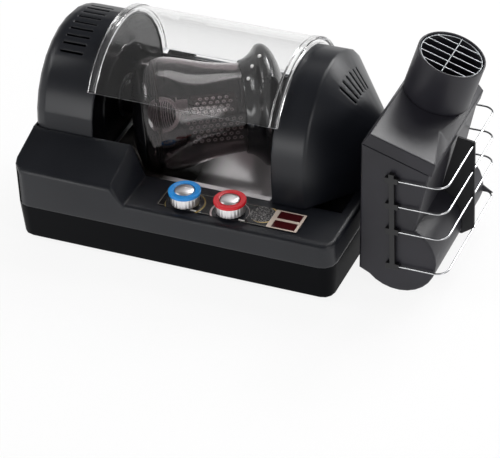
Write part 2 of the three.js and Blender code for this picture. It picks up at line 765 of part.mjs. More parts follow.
// Two dials: each turns with its spindle, and pushes down on it
for (const [name, x, tint] of [["time", timeKnobX, blue], ["temperature", temperatureKnobX, red]]) {
  const skirtZ = panelTop + knobLift;
  const ringZ = skirtZ + knobHeight - knobRingHeight;
  const top = skirtZ + knobHeight;
  const spindleTop = ringZ - knobTravel - seatGap;
  place(`${name}_spindle`, rodZ(x, knobY, spindleRadius, boardTop + seatGap, spindleTop, 12), steel);
  const bodyProfile = [
    [0, skirtZ], [knobBodyRadius, skirtZ], [knobBodyRadius - 1.2, ringZ - seatGap],
    [knobDomeRadius - seatGap, ringZ - seatGap], [knobDomeRadius - seatGap, top], [0, top + 1.6],
  ];
  const bodyGeometry = turned(bodyProfile, "Z", 20);
  bodyGeometry.translate(x, knobY, 0);
  const bore = rodZ(x, knobY, spindleRadius + seatGap, skirtZ - 1, ringZ, 12);
  place(`${name}_knob`, cut(toSolid(bodyGeometry), bore), white);
  const ringProfile = [
    [knobDomeRadius, ringZ], [knobRingRadius - 0.4, ringZ], [knobRingRadius, top - 0.8],
    [knobRingRadius - 0.8, top], [knobDomeRadius, top], [knobDomeRadius, ringZ],
  ];
  const ringGeometry = turned(ringProfile, "Z", 20);
  ringGeometry.translate(x, knobY, 0);
  place(`${name}_knob_ring`, toSolid(ringGeometry), tint);
}

// Drum: every ring is square to the tilted centre line, at a distance along it from the middle
function drumPoint(along, across, up) {
  return drumCentre.clone().addScaledVector(alongDrum, along).addScaledVector(acrossDrum, across)
    .add(new THREE.Vector3(0, 0, up));
}

function drumRing(along, radius, steps = roundSteps) {
  const ring = [];
  for (let i = 0; i < steps; i += 1) {
    const angle = (2 * Math.PI * i) / steps;
    ring.push(drumPoint(along, radius * Math.cos(angle), radius * Math.sin(angle)));
  }
  return ring;
}

function drumTube(start, end, outerRadius, innerRadius, steps = roundSteps) {
  return loftTube([
    drumRing(start, outerRadius, steps), drumRing(end, outerRadius, steps),
    drumRing(end, innerRadius, steps), drumRing(start, innerRadius, steps),
  ]);
}

function drumDisc(start, end, radius, steps = roundSteps) {
  return loft([drumRing(start, radius, steps), drumRing(end, radius, steps)]);
}

place("glass_tube", drumTube(glassStart, glassEnd, glassRadius, glassRadius - glassWall, glassSteps), smoked);

// End caps: turned shells round the tilted centre line, each with a hub on the turning axis
const collarInner = glassRadius + seatGap;
const stopRadius = glassRadius - glassWall - 1.5;
const leftStop = glassStart - seatGap;
const rightStop = glassEnd + seatGap;
const leftHubEnd = gearX - 3;
const rightHubReach = 10.5;
const rightHubEnd = rightHousingStart + rightHubReach;

function drumTurned(profile, steps = capSteps) {
  return loft(profile.map(([along, radius]) => drumRing(along, radius, steps)));
}

function leftCap() {
  const lip = leftStop + 8;
  const outer = drumTurned([
    [lip, collarInner + 2.5], [leftStop + 2.5, collarInner + 3.5], [leftStop + 2, leftRimRadius],
    [leftStop - 5, leftRimRadius], [leftStop - 11, leftRimRadius - 4.5], [leftStop - 18, leftRimRadius - 15],
    [leftStop - 23, leftRimRadius - 28], [leftStop - 26, leftRimRadius - 42],
  ]);
  const inner = drumTurned([
    [leftStop + 1, stopRadius], [leftStop - 2.5, stopRadius], [leftStop - 3, leftRimRadius - 3],
    [leftStop - 5, leftRimRadius - 3], [leftStop - 10, leftRimRadius - 7.2],
    [leftStop - 16.4, leftRimRadius - 17.2], [leftStop - 20.8, leftRimRadius - 29.5],
    [leftStop - 23.4, leftRimRadius - 44],
  ]);
  const seat = drumDisc(leftStop, lip + 1, collarInner, glassSteps);
  const sleeveEnd = drumCentreX - drumHalfSpan + 11;
  const sleeve = rodX(axisY, axisZ, hubRadius, leftHubEnd, sleeveEnd);
  const bore = rodX(axisY, axisZ, hubRadius - hubWall, leftHubEnd - 1, sleeveEnd + 22);
  return cut(join(outer, sleeve), inner, seat, bore);
}
place("left_cap", leftCap(), gloss);

function rightCap() {
  const lip = rightStop - 6;
  const outer = drumTurned([
    [lip, collarInner + 1.7], [rightStop, collarInner + 3], [rightStop + 6, collarInner + 6],
    [rightStop + 15, rightDomeRadius - 0.8], [rightStop + 21, rightDomeRadius - 0.2],
    [rightStop + 29, rightDomeRadius - 6], [rightStop + 37, rightDomeRadius - 20],
    [rightStop + 42, rightDomeRadius - 40],
  ]);
  const inner = drumTurned([
    [rightStop - 1, stopRadius], [rightStop + 2.5, stopRadius], [rightStop + 7.4, collarInner + 2.5],
    [rightStop + 16, rightDomeRadius - 4.2], [rightStop + 20.4, rightDomeRadius - 3.6],
    [rightStop + 27.4, rightDomeRadius - 9], [rightStop + 35, rightDomeRadius - 22.4],
    [rightStop + 39.4, rightDomeRadius - 42],
  ]);
  const seat = drumDisc(lip - 1, rightStop, collarInner, glassSteps);
  const sleeveStart = drumCentreX + drumHalfSpan - 15;
  const sleeve = rodX(axisY, axisZ, hubRadius, sleeveStart, rightHubEnd);
  const bore = rodX(axisY, axisZ, hubRadius - hubWall, sleeveStart - 12, rightHubEnd + 1);
  return cut(join(outer, sleeve), inner, seat, bore);
}
place("right_cap", rightCap(), gloss);

// Inside the drum: end plates, domed air strainer and the folded perforated vane
const plateRadius = glassRadius - glassWall - seatGap;
const inletPlateX = glassStart + 0.2;
const outletPlateX = glassEnd - 0.2 - sheetMetal * 2;

function endPlate(start, holeRadius, slotCount) {
  const end = start + sheetMetal * 2;
  const slotRadius = (plateRadius + holeRadius) / 2 + 3;
  const plate = drumDisc(start, end, plateRadius, glassSteps);
  const tools = [drumDisc(start - 1, end + 1, holeRadius, 16)];
  for (let i = 0; i < slotCount; i += 1) {
    const angle = (2 * Math.PI * (i + 0.5)) / slotCount;
    const ring = (along) => arc(slotRadius * Math.cos(angle), slotRadius * Math.sin(angle), 7, 0, 300, 5)
      .map((p) => drumPoint(along, p.x, p.y));
    tools.push(loft([ring(start - 1), ring(end + 1)]));
  }
  return cut(plate, ...tools);
}
place("inlet_plate", endPlate(inletPlateX, strainerRadius - 5, 0), stainless);
place("outlet_plate", endPlate(outletPlateX, 14, 6), stainless);

function strainer() {
  const foot = inletPlateX + sheetMetal * 2 + seatGap;
  const steps = 10;
  const domeRings = (radius) => [0.02, 0.4, 0.75, 1].map((share) => {
    const angle = (share * Math.PI) / 2;
    return drumRing(foot + 4 + radius * Math.cos(angle), radius * Math.sin(angle), steps);
  });
  const outer = loft([...domeRings(strainerRadius), drumRing(foot, strainerRadius, steps)]);
  const inner = loft([...domeRings(strainerRadius - 1.5), drumRing(foot - 1, strainerRadius - 1.5, steps)]);
  const crown = drumTube(foot, foot + 3, strainerRadius + 3.5, strainerRadius - 0.4, steps);
  const slots = [];
  for (let i = 0; i < 3; i += 1) {
    const angle = (Math.PI * (i + 0.5)) / 3;
    const width = 1.6;
    const reach = strainerRadius * 2;
    const side = (along) => [[-reach, -width], [reach, -width], [reach, width], [-reach, width]]
      .map(([a, b]) => drumPoint(along, a * Math.cos(angle) - b * Math.sin(angle),
        a * Math.sin(angle) + b * Math.cos(angle)));
    slots.push(loft([side(foot + 6), side(foot + 15)]));
  }
  return cut(join(outer, crown), inner, ...slots);
}
place("inlet_strainer", strainer(), stainless);

// One leaf of the vane: a sheet from the fold line, punched with staggered rows of holes
const vaneFoldZ = -8;

function vaneLeaf(startTop, startFar, end, reach, slant, rowStart) {
  const sheet = new THREE.Shape([
    new THREE.Vector2(startTop, -0.3),
    new THREE.Vector2(end, -0.3),
    new THREE.Vector2(end, reach),
    new THREE.Vector2(startFar, reach),
  ]);
  const rowPitch = vaneHolePitch * 0.9;
  const rows = 1 + Math.floor((reach - rowStart - vaneHoleRadius - 1) / rowPitch);
  for (let row = 0; row < rows; row += 1) {
    const out = rowStart + row * rowPitch;
    const left = startTop + ((startFar - startTop) * out) / reach + 4;
    const stagger = (row % 2) * 0.5 * vaneHolePitch;
    for (let along = end - 6 - stagger; along > left + vaneHoleRadius; along -= vaneHolePitch) {
      sheet.holes.push(new THREE.Path(arc(along, out, vaneHoleRadius, 20, 290, 3)));
    }
  }
  const options = { depth: vaneThickness, bevelEnabled: false, curveSegments: 1 };
  const geometry = new THREE.ExtrudeGeometry(sheet, options);
  const up = new THREE.Vector3(0, 0, 1);
  const outwards = acrossDrum.clone().multiplyScalar(Math.cos(slant)).addScaledVector(up, Math.sin(slant));
  const facing = up.clone().multiplyScalar(Math.cos(slant)).addScaledVector(acrossDrum, -Math.sin(slant));
  const fold = drumPoint(0, 0, vaneFoldZ);
  geometry.applyMatrix4(new THREE.Matrix4().makeBasis(alongDrum, outwards, facing).setPosition(fold));
  return toSolid(geometry);
}

function vane() {
  const upper = vaneLeaf(glassStart + 34, glassStart + 42, glassEnd - 11, glassRadius - 19.5,
    THREE.MathUtils.degToRad(15), 7);
  const lower = vaneLeaf(glassStart + 25, glassStart + 38, outletPlateX - seatGap, glassRadius - 14.5,
    THREE.MathUtils.degToRad(273), 6);
  return join(upper, lower);
}
place("stirring_vane", vane(), stainless);

// Clear cover: a curved sheet with a thicker rim at each end
function coverSector(innerRadius, outerRadius, x0, x1) {
  const outline = [
    ...arc(axisY, axisZ, outerRadius, 180 - coverFrontAngle, 180 - coverRearAngle, arcSteps),
    ...arc(axisY, axisZ, innerRadius, 180 - coverRearAngle, 180 - coverFrontAngle, arcSteps),
  ];
  return prism("YZ", outline, x0, x1);
}

function clearCover() {
  const rimInner = archRadius + coverRimClearance;
  const rimOuter = coverOuter + coverRimHeight;
  return join(
    coverSector(coverInner, coverOuter, coverLeftX, coverRightX),
    coverSector(rimInner, rimOuter, coverLeftX, coverLeftX + coverRimWidth),
    coverSector(rimInner, rimOuter, coverRightX - coverRimWidth, coverRightX),
  );
}
place("clear_cover", clearCover(), clear);

for (const [name, centre] of [["left", hingeCentres[0]], ["right", hingeCentres[1]]]) {
  const strapTop = coverRearZ - seatGap;
  const half = hingeBarrelLength / 2;
  const strap = block(centre - half, centre + half, hingeY - coverThickness / 2, hingeY + coverThickness / 2,
    hingeZ, strapTop);
  const barrel = rodX(hingeY, hingeZ, hingeBarrelRadius, centre - half, centre + half, 16);
  const bore = rodX(hingeY, hingeZ, hingePinRadius + seatGap, centre - half - 1, centre + half + 1, 10);
  place(`cover_knuckle_${name}`, cut(join(strap, barrel), bore), gloss);
}

// Drive: a gear on the left hub, a pinion in front of it and the gear motor that turns the pinion
function gearOutline(teeth, phase) {
  const pitchRadius = (gearModule * teeth) / 2;
  const tip = pitchRadius + 0.75 * gearModule;
  const root = pitchRadius - 1.1 * gearModule;
  const step = (2 * Math.PI) / teeth;
  const points = [];
  for (let i = 0; i < teeth; i += 1) {
    for (const [radius, share] of [[root, -0.33], [tip, -0.1], [tip, 0.1], [root, 0.33]]) {
      const angle = phase + step * (i + share);
      points.push(new THREE.Vector2(radius * Math.cos(angle), radius * Math.sin(angle)));
    }
  }
  return points;
}

function shifted(outline, a, b) {
  return outline.map((p) => new THREE.Vector2(p.x + a, p.y + b));
}

const centreDistance = (gearModule * (driveTeeth + pinionTeeth)) / 2;
const pinionY = axisY - centreDistance;
const driveGear = cut(
  prism("YZ", shifted(gearOutline(driveTeeth, Math.PI), axisY, axisZ), gearX, gearX + gearWidth),
  rodX(axisY, axisZ, hubRadius + seatGap, gearX - 1, gearX + gearWidth + 1),
);
place("drive_gear", driveGear, nylon);

const motorFace = gearX - 3.5;
const shaftRadius = 3;
const pinionOutline = shifted(gearOutline(pinionTeeth, Math.PI / pinionTeeth), pinionY, axisZ);
const pinion = join(
  prism("YZ", pinionOutline, gearX, gearX + gearWidth),
  rodX(pinionY, axisZ, 5, gearX - 1, gearX + 1, 16),
);
const pinionBore = rodX(pinionY, axisZ, shaftRadius + seatGap, gearX - 2, gearX + gearWidth + 1, 16);
place("motor_pinion", cut(pinion, pinionBore), steel);

const bracketPlateX = motorFace + seatGap;
const bracketThickness = 1.8;

function gearMotor() {
  const can = rodX(pinionY, axisZ, motorRadius, motorFace - motorLength, motorFace, 20);
  const tailEnd = motorFace - motorLength;
  const tail = rodX(pinionY, axisZ, motorRadius - 6, tailEnd - 4, tailEnd + 1, 12);
  const shaft = rodX(pinionY, axisZ, shaftRadius, motorFace - 1, gearX + gearWidth, 12);
  return join(can, tail, shaft);
}
place("gear_motor", gearMotor(), steel);

function motorBracket() {
  const plate = block(bracketPlateX, bracketPlateX + bracketThickness, pinionY - 24, pinionY + 8,
    axisZ - 26, axisZ + 26);
  const posts = [-20, 20].map((up) => rodX(pinionY - 18, axisZ + up, 4, bracketPlateX,
    leftBulkheadX - seatGap, 8));
  const holeEnd = bracketPlateX + bracketThickness + 1;
  const hole = rodX(pinionY, axisZ, shaftRadius + 1.5, bracketPlateX - 1, holeEnd, 16);
  return cut(join(plate, ...posts), hole);
}
place("motor_bracket", motorBracket(), steel);

// Air: a blower on the base floor and the heater duct that rises to the left hub
const floorZ = baseBottomZ + wall + seatGap;
const ductY0 = axisY - ductHalfWidth;
const ductY1 = axisY + ductHalfWidth;
const ductX0 = 12;
const ductX1 = leftHubEnd - seatGap;

function heaterDuct() {
  const outline = [
    new THREE.Vector2(ductY0, floorZ),
    new THREE.Vector2(ductY1, floorZ),
    new THREE.Vector2(ductY1, axisZ),
    ...arc(axisY, axisZ, (ductY1 - ductY0) / 2, 15, 165, 10),
    new THREE.Vector2(ductY0, axisZ),
  ];
  const hollow = prism("YZ", inset(outline, 2), ductX0 + 2, ductX1 - 2);
  const shell = cut(prism("YZ", outline, ductX0, ductX1), hollow);
  const mouth = rodX(axisY, axisZ, hubRadius - hubWall, ductX1 - 4, ductX1 + 2, 24);
  const intake = block(ductX0 + 6, ductX1 - 8, ductY1 - 4, ductY1 + 4, floorZ + 6, floorZ + 24);
  return cut(shell, mouth, intake);
}
place("heater_duct", heaterDuct(), steel);

function heaterCore() {
  const x0 = ductX0 + 2 + seatGap;
  const x1 = ductX1 - 2 - seatGap;
  const y0 = ductY0 + 2 + seatGap;
  const y1 = ductY1 - 2 - seatGap;
  const midX = (x0 + x1) / 2;
  const z0 = floorZ + 34;
  const z1 = floorZ + 70;
  return join(
    block(midX - 1.5, midX + 1.5, y0, y1, z0, z1),
    block(x0, x1, axisY - 1.5, axisY + 1.5, z0, z1),
  );
}
place("heater_core", heaterCore(), ceramic);

function blowerHousing() {
  const x0 = blowerX;
  const x1 = blowerX + blowerWidth;
  const round = rodX(blowerY, blowerZ, blowerRadius, x0, x1, 24);
  const horn = block(x0, x1, ductY1 + seatGap, blowerY, floorZ + 4, floorZ + 26);
  const stand = block(x0 + 4, x1 - 4, blowerY - 14, blowerY + 14, floorZ, blowerZ);
  const roundInner = rodX(blowerY, blowerZ, blowerRadius - 2, x0 + 2, x1 - 2, 24);
  const hornInner = block(x0 + 2, x1 - 2, ductY1 - 2, blowerY, floorZ + 6, floorZ + 24);
  const eye = rodX(blowerY, blowerZ, impellerRadius - 6, x0 - 2, x0 + 4, 16);
  const shaftHole = rodX(blowerY, blowerZ, 4, x1 - 4, x1 + 2, 12);
  return cut(join(round, horn, stand), roundInner, hornInner, eye, shaftHole);
}
place("blower_housing", blowerHousing(), darkBase);

const blowerShaftRadius = 2;
const blowerMotorX = blowerX + blowerWidth + seatGap;

function blowerMotor() {
  return join(
    rodX(blowerY, blowerZ, 15, blowerMotorX, blowerMotorX + blowerMotorLength, 20),
    rodX(blowerY, blowerZ, blowerShaftRadius, blowerX + 6, blowerMotorX + 1, 12),
  );
}
place("blower_motor", blowerMotor(), steel);

function impeller() {
  const x0 = blowerX + 4;
  const x1 = blowerX + blowerWidth - 5;
  const disc = rodX(blowerY, blowerZ, impellerRadius, x1 - 1.5, x1, 20);
  const boss = rodX(blowerY, blowerZ, 5, x1 - 10, x1, 16);
  const blades = [];
  for (let i = 0; i < impellerBlades; i += 1) {
    const geometry = new THREE.BoxGeometry(x1 - x0, 6, 1);
    geometry.rotateX(0.7);
    geometry.translate((x0 + x1) / 2, impellerRadius - 3.4, 0);
    geometry.rotateX((2 * Math.PI * i) / impellerBlades);
    geometry.translate(0, blowerY, blowerZ);
    blades.push(toSolid(geometry));
  }
  const bore = rodX(blowerY, blowerZ, blowerShaftRadius + seatGap, x0 - 1, x1 + 1, 12);
  return cut(join(disc, boss, ...blades), bore);
}
place("blower_impeller", impeller(), nylon);

// Exhaust duct on the axis, from the drum's right hub through the cone's end into the collector
const ductStart = rightHubEnd + 1;

function exhaustDuct() {
  const end = rightConeEnd + outletReach;
  const tube = join(
    rodX(axisY, axisZ, outletRadius, ductStart, end),
    rodX(axisY, axisZ, outletRadius + 3, rightConeEnd - wall - seatGap - 2, rightConeEnd - wall - seatGap),
  );
  return cut(tube, rodX(axisY, axisZ, outletRadius - 2.5, ductStart - 1, end + 1));
}
place("exhaust_duct", exhaustDuct(), darkBase);

// Chaff collector: a barrel with a leaning hopper on it, under a tilted lid
const lidRad = THREE.MathUtils.degToRad(lidTilt);
const lidPoint = (along, up) => new THREE.Vector2(
  lidLeftX + along * Math.cos(lidRad) + up * Math.sin(lidRad),
  lidTopZ - along * Math.sin(lidRad) + up * Math.cos(lidRad),
);
const collectorLeftX = barrelCentreX - barrelRadius;
const seamUp = -lidSkirt - seatGap;

function collectorOutline(rise = 0) {
  const leftTop = lidPoint(-lidLeftFlare, seamUp);
  const rightTop = lidPoint(lidLength + lidRightFlare, seamUp);
  return [
    ...arc(barrelCentreX, barrelCentreZ, barrelRadius, collectorSideFootAngle, -138, 16),
    new THREE.Vector2(collectorLeftX, sideFootZ),
    new THREE.Vector2(leftTop.x, leftTop.y + rise),
    new THREE.Vector2(rightTop.x, rightTop.y + rise),
  ];
}

function collectorForm(margin) {
  const outline = collectorOutline(12);
  const front = collectorFrontY + margin;
  const back = collectorBackY - margin;
  if (margin > 0) {
    return prism("XZ", inset(outline, margin), front, back);
  }
  return loft([
    inPlaneY(inset(outline, collectorEdge), front),
    inPlaneY(outline, front + collectorEdge),
    inPlaneY(outline, back - collectorEdge),
    inPlaneY(inset(outline, collectorEdge), back),
  ]);
}

function collectorBody() {
  const above = prism("XZ", [
    lidPoint(-lidLeftFlare - 20, seamUp), lidPoint(lidLength + 30, seamUp),
    lidPoint(lidLength + 30, 40), lidPoint(-lidLeftFlare - 20, 40),
  ], collectorFrontY - 10, collectorBackY + 10);
  const collar = rodX(axisY, axisZ, outletRadius + 3.5, rightConeEnd + 3, collectorLeftX + 7);
  const bore = rodX(axisY, axisZ, outletRadius + 0.6, rightConeEnd, collectorLeftX + 12);
  const gussetZ = wireHeights[0] + wireRadius + 0.4;
  const gussetX = barrelCentreX + barrelRadius - 3;
  const gusset = prism("XZ", [
    new THREE.Vector2(gussetX, gussetZ),
    new THREE.Vector2(wireOuterX - 1, gussetZ),
    new THREE.Vector2(gussetX, gussetZ + 9.5),
  ], collectorBackY - wall + 0.1, collectorBackY - 0.1);
  return cut(join(cut(collectorForm(0), above), collar, gusset), collectorForm(wall), bore);
}
place("collector_body", collectorBody(), charcoal);

// Tilted lid: flared skirt, flat top, a bevel that narrows to the corners, a hole under the pipe
function collectorLid() {
  const section = (y, bevelLength, bevelDrop) => inPlaneY([
    lidPoint(-lidLeftFlare, -lidSkirt),
    lidPoint(lidLength + lidRightFlare, -lidSkirt),
    lidPoint(lidLength, -bevelDrop),
    lidPoint(lidLength - bevelLength, 0),
    lidPoint(0, 0),
  ], y);
  const depth = collectorBackY - collectorFrontY;
  const inner = [
    lidPoint(-lidLeftFlare + 2.6, -lidSkirt - 1),
    lidPoint(lidLength + lidRightFlare - 2.6, -lidSkirt - 1),
    lidPoint(lidLength - 2.6, -lidBevelDrop - 2.4),
    lidPoint(lidLength - lidBevelWidest - 2, -2.4),
    lidPoint(1.5, -2.4),
  ];
  const shell = cut(
    loft([
      section(collectorFrontY, 1, 1),
      section(collectorFrontY + 0.35 * depth, lidBevelWidest, lidBevelDrop),
      section(collectorFrontY + 0.57 * depth, lidBevelRear, lidBevelDrop),
      section(collectorBackY, lidBevelRear, lidBevelDrop),
    ]),
    prism("XZ", inner, collectorFrontY + wall, collectorBackY - wall),
  );
  return cut(shell, lidRod(pipeRadius - pipeWall - 2, -12, 12));
}

// Rod square to the lid, on the pipe's centre line
function lidRod(radius, low, high, steps = roundSteps) {
  const geometry = turned([[0, low], [radius, low], [radius, high], [0, high]], "Z", steps);
  return toSolid(onLid(geometry));
}

function onLid(geometry) {
  geometry.translate(pipeAlongLid, 0, 0);
  geometry.rotateY(lidRad);
  geometry.translate(lidLeftX, pipeY, lidTopZ);
  return geometry;
}
place("collector_lid", collectorLid(), charcoal);

const grilleSeat = pipeHeight - grilleDepth - 3;

function exhaustPipe() {
  const tube = join(
    lidRod(pipeRadius, seatGap, pipeHeight, capSteps),
    lidRod(pipeRadius + 0.8, seatGap, 4, capSteps),
  );
  return cut(tube, lidRod(pipeRadius - pipeWall - 1, -2, grilleSeat, capSteps),
    lidRod(pipeRadius - pipeWall, grilleSeat - 0.01, pipeHeight + 2, capSteps));
}
place("exhaust_pipe", exhaustPipe(), charcoal);

// Grille in the pipe's mouth: a ring, five bars and one bar across them
function pipeGrille() {
  const low = grilleSeat + seatGap;
  const high = low + grilleDepth;
  const outer = pipeRadius - pipeWall - seatGap;
  const bars = [];
  const pitch = (2 * outer) / (grilleBarCount + 1);
  for (let i = 0; i < grilleBarCount; i += 1) {
    const geometry = new THREE.BoxGeometry(4 * outer, grilleBarWidth, 4 * grilleDepth);
    geometry.translate(0, (i - (grilleBarCount - 1) / 2) * pitch, (low + high) / 2);
    bars.push(toSolid(onLid(geometry)));
  }
  const cross = new THREE.BoxGeometry(grilleBarWidth, 4 * outer, 4 * grilleDepth);
  cross.translate(0, 0, (low + high) / 2);
  const openings = cut(lidRod(outer - 1.6, low - 1, high + 1, capSteps), ...bars, toSolid(onLid(cross)));
  return cut(lidRod(outer, low, high, capSteps), openings);
}
place("pipe_grille", pipeGrille(), steel);

// Chaff screen: a slotted plate that rests inside the hopper, below the lid
function chaffScreen() {
  const top = seamUp - 4;
  const outline = [
    lidPoint(0.5, top - 1.5), lidPoint(lidLength - 6, top - 1.5), lidPoint(lidLength - 6, top), lidPoint(0.5, top),
  ];
  const y0 = collectorFrontY + wall + seatGap;
  const y1 = collectorBackY - wall - seatGap;
  const slots = [];
  for (let row = 0; row < 3; row += 1) {
    for (let column = 0; column < 5; column += 1) {
      const along = 5 + row * 23;
      const y = y0 + 12 + column * 28;
      slots.push(prism("XZ", [
        lidPoint(along, top - 4), lidPoint(along + 18, top - 4), lidPoint(along + 18, top + 3), lidPoint(along, top + 3),
      ], y, y + 12));
    }
  }
  return cut(prism("XZ", outline, y0, y1), ...slots);
}
place("chaff_screen", chaffScreen(), stainless);

// Guard wires: four U shapes in plan, held by a strip with clips at the front and at the back
const wireFrontY = collectorFrontY - wireStandoff;
const wireBackY = collectorBackY + wireStandoff;
const wireEndX = retainerX + retainerWidth / 2 + 1;

function guardWire(z) {
  const corner = wireOuterX - wireBendRadius;
  const path = new THREE.CurvePath();
  const point = (x, y) => new THREE.Vector3(x, y, z);
  const line = (a, b) => path.add(new THREE.LineCurve3(a, b));
  const bend = (a, middle, b) => path.add(new THREE.QuadraticBezierCurve3(a, middle, b));
  line(point(wireEndX, wireFrontY), point(corner, wireFrontY));
  bend(point(corner, wireFrontY), point(wireOuterX, wireFrontY), point(wireOuterX, wireFrontY + wireBendRadius));
  line(point(wireOuterX, wireFrontY + wireBendRadius), point(wireOuterX, wireBackY - wireBendRadius));
  bend(point(wireOuterX, wireBackY - wireBendRadius), point(wireOuterX, wireBackY), point(corner, wireBackY));
  line(point(corner, wireBackY), point(wireEndX, wireBackY));
  const section = new THREE.Shape(arc(0, 0, wireRadius, 0, 300, 5));
  const steps = 14;
  const geometry = new THREE.ExtrudeGeometry(section, { extrudePath: path, steps, bevelEnabled: false });
  return toSolid(geometry);
}
wireHeights.forEach((z, i) => place(`guard_wire_${i + 1}`, guardWire(z), chrome));

function wireRetainer(side) {
  const face = side < 0 ? collectorFrontY - seatGap : collectorBackY + seatGap;
  const far = face + side * (wireStandoff + 2);
  const y0 = Math.min(face, far);
  const y1 = Math.max(face, far);
  const half = retainerWidth / 2;
  const bar = block(retainerX - half, retainerX + half, y0, y1, wireHeights[0] - 3, wireHeights.at(-1) + 8);
  const clips = wireHeights.map((z) => block(retainerX - clipWidth / 2, retainerX + clipWidth / 2, y0, y1,
    z - clipHeight / 2, z + clipHeight / 2));
  const wireY = side < 0 ? wireFrontY : wireBackY;
  const bores = wireHeights.map((z) => rodX(wireY, z, wireRadius + seatGap, wireEndX - seatGap,
    retainerX + clipWidth, 6));
  return cut(join(bar, ...clips), ...bores);
}
place("wire_retainer_front", wireRetainer(-1), darkBase);
place("wire_retainer_rear", wireRetainer(1), darkBase);

// Fin on the hopper's side: holds the wires half way along
function collectorFin() {
  const outerX = wireOuterX + finReach;
  const plate = prism("XZ", [
    new THREE.Vector2(barrelCentreX, finBottomZ),
    new THREE.Vector2(outerX - 14, finBottomZ),
    new THREE.Vector2(outerX, finBottomZ + 10.5),
    new THREE.Vector2(outerX, finTopZ - 3),
    new THREE.Vector2(outerX - 19, finTopZ),
    new THREE.Vector2(barrelCentreX + 20, finTopZ),
  ], finY - finThickness / 2, finY + finThickness / 2);
  const clearOfBody = prism("XZ", inset(collectorOutline(), -seatGap), finY - 10, finY + 10);
  const lidSide = prism("XZ", [
    lidPoint(-40, seamUp - 0.2), lidPoint(lidLength + lidRightFlare + 0.6, seamUp - 0.2),
    lidPoint(lidLength + 0.6, 30), lidPoint(-40, 30),
  ], finY - 10, finY + 10);
  const bores = wireHeights.slice(1).map((z) => prism("XZ", arc(wireOuterX, z, wireRadius + seatGap + 0.1, 0, 315, 7),
    finY - 10, finY + 10));
  return cut(plate, clearOfBody, lidSide, ...bores);
}
place("collector_fin", collectorFin(), darkBase);

// The origin is the bottom centre of the whole object
const box = new THREE.Box3().setFromObject(machine);
machine.position.set(-(box.min.x + box.max.x) / 2, -(box.min.y + box.max.y) / 2, -box.min.z);
machine.updateMatrixWorld(true);

export default machine;
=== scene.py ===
# %% [markdown]
# # A home coffee roaster
# The real object is a long black appliance. A drum of smoked glass lies tilted in an open bay between
# two arched housings, under a clear cover that is hinged at the back. A chaff collector with a wide
# exhaust pipe and a chrome wire guard hangs on the right end.
#
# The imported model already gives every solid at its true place, so this lesson adds what a camera
# sees: rounded edges, turned and swept pieces with enough segments, and a finish for each material.

# %% Load the frame
import json
import math

import bmesh
import bpy
from mathutils import Matrix, Vector


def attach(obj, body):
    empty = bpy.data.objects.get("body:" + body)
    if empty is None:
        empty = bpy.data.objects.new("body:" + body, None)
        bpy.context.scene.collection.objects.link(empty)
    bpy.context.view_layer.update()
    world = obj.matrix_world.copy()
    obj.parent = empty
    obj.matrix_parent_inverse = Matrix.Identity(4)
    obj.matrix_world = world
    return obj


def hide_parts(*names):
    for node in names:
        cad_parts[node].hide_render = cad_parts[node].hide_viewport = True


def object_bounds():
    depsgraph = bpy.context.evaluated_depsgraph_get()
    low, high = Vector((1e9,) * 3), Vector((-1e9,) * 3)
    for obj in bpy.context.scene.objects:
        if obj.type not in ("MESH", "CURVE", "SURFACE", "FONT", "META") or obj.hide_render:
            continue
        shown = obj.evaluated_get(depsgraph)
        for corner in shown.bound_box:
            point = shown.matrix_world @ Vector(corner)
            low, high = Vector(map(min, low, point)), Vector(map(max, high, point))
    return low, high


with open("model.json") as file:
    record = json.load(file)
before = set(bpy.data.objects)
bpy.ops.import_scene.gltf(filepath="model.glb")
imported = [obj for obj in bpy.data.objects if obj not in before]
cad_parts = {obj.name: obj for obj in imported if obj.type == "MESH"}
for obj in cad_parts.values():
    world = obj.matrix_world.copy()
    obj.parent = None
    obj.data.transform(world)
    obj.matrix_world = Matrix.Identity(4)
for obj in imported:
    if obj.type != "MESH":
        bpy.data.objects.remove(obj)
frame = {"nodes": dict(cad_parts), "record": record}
cad_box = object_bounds()

# %% [markdown]
# ## Sizes
# The frame's origin is below the middle of the whole object, but the roaster is easier to think about
# from the front left corner of its body, which is also the first corner of the box round all solids.
# One function goes from millimetres there to metres in the frame. The sizes that more than one piece
# needs are named once, here.

# %% Sizes in millimetres
MM = 0.001
CORNER = Vector(cad_box[0]) / MM
AXIS_Y = 156.0
AXIS_Z = 113.0
DRUM_TILT = math.radians(30)
DRUM_CENTRE = Vector((174.0, AXIS_Y, AXIS_Z))


def place(x, y, z):
    return (Vector((x, y, z)) + CORNER) * MM


drum_matrix = (
    Matrix.Translation(place(*DRUM_CENTRE))
    @ Matrix.Rotation(DRUM_TILT, 4, "Z")
    @ Matrix.Rotation(math.pi / 2, 4, "Y")
    @ Matrix.Scale(MM, 4)
)
print("drum centre", [round(v, 4) for v in drum_matrix.translation])

# %% [markdown]
# ## Nodes and colours
# Colours are written as the hex values that a painter would pick on screen. Shaders work in linear
# light, so one function converts them. Another adds a node to a tree with its settings and links.

# %% Helpers for materials


def colour(text, alpha=1.0):
    channels = [int(text[i : i + 2], 16) / 255 for i in (1, 3, 5)]
    linear = [c / 12.92 if c <= 0.04045 else ((c + 0.055) / 1.055) ** 2.4 for c in channels]
    return (*linear, alpha)


def add_node(tree, kind, inputs=(), **settings):
    made = tree.nodes.new(kind)
    for name, value in settings.items():
        setattr(made, name, value)
    for name, value in dict(inputs).items():
        if isinstance(value, bpy.types.NodeSocket):
            tree.links.new(value, made.inputs[name])
        else:
            made.inputs[name].default_value = value
    return made


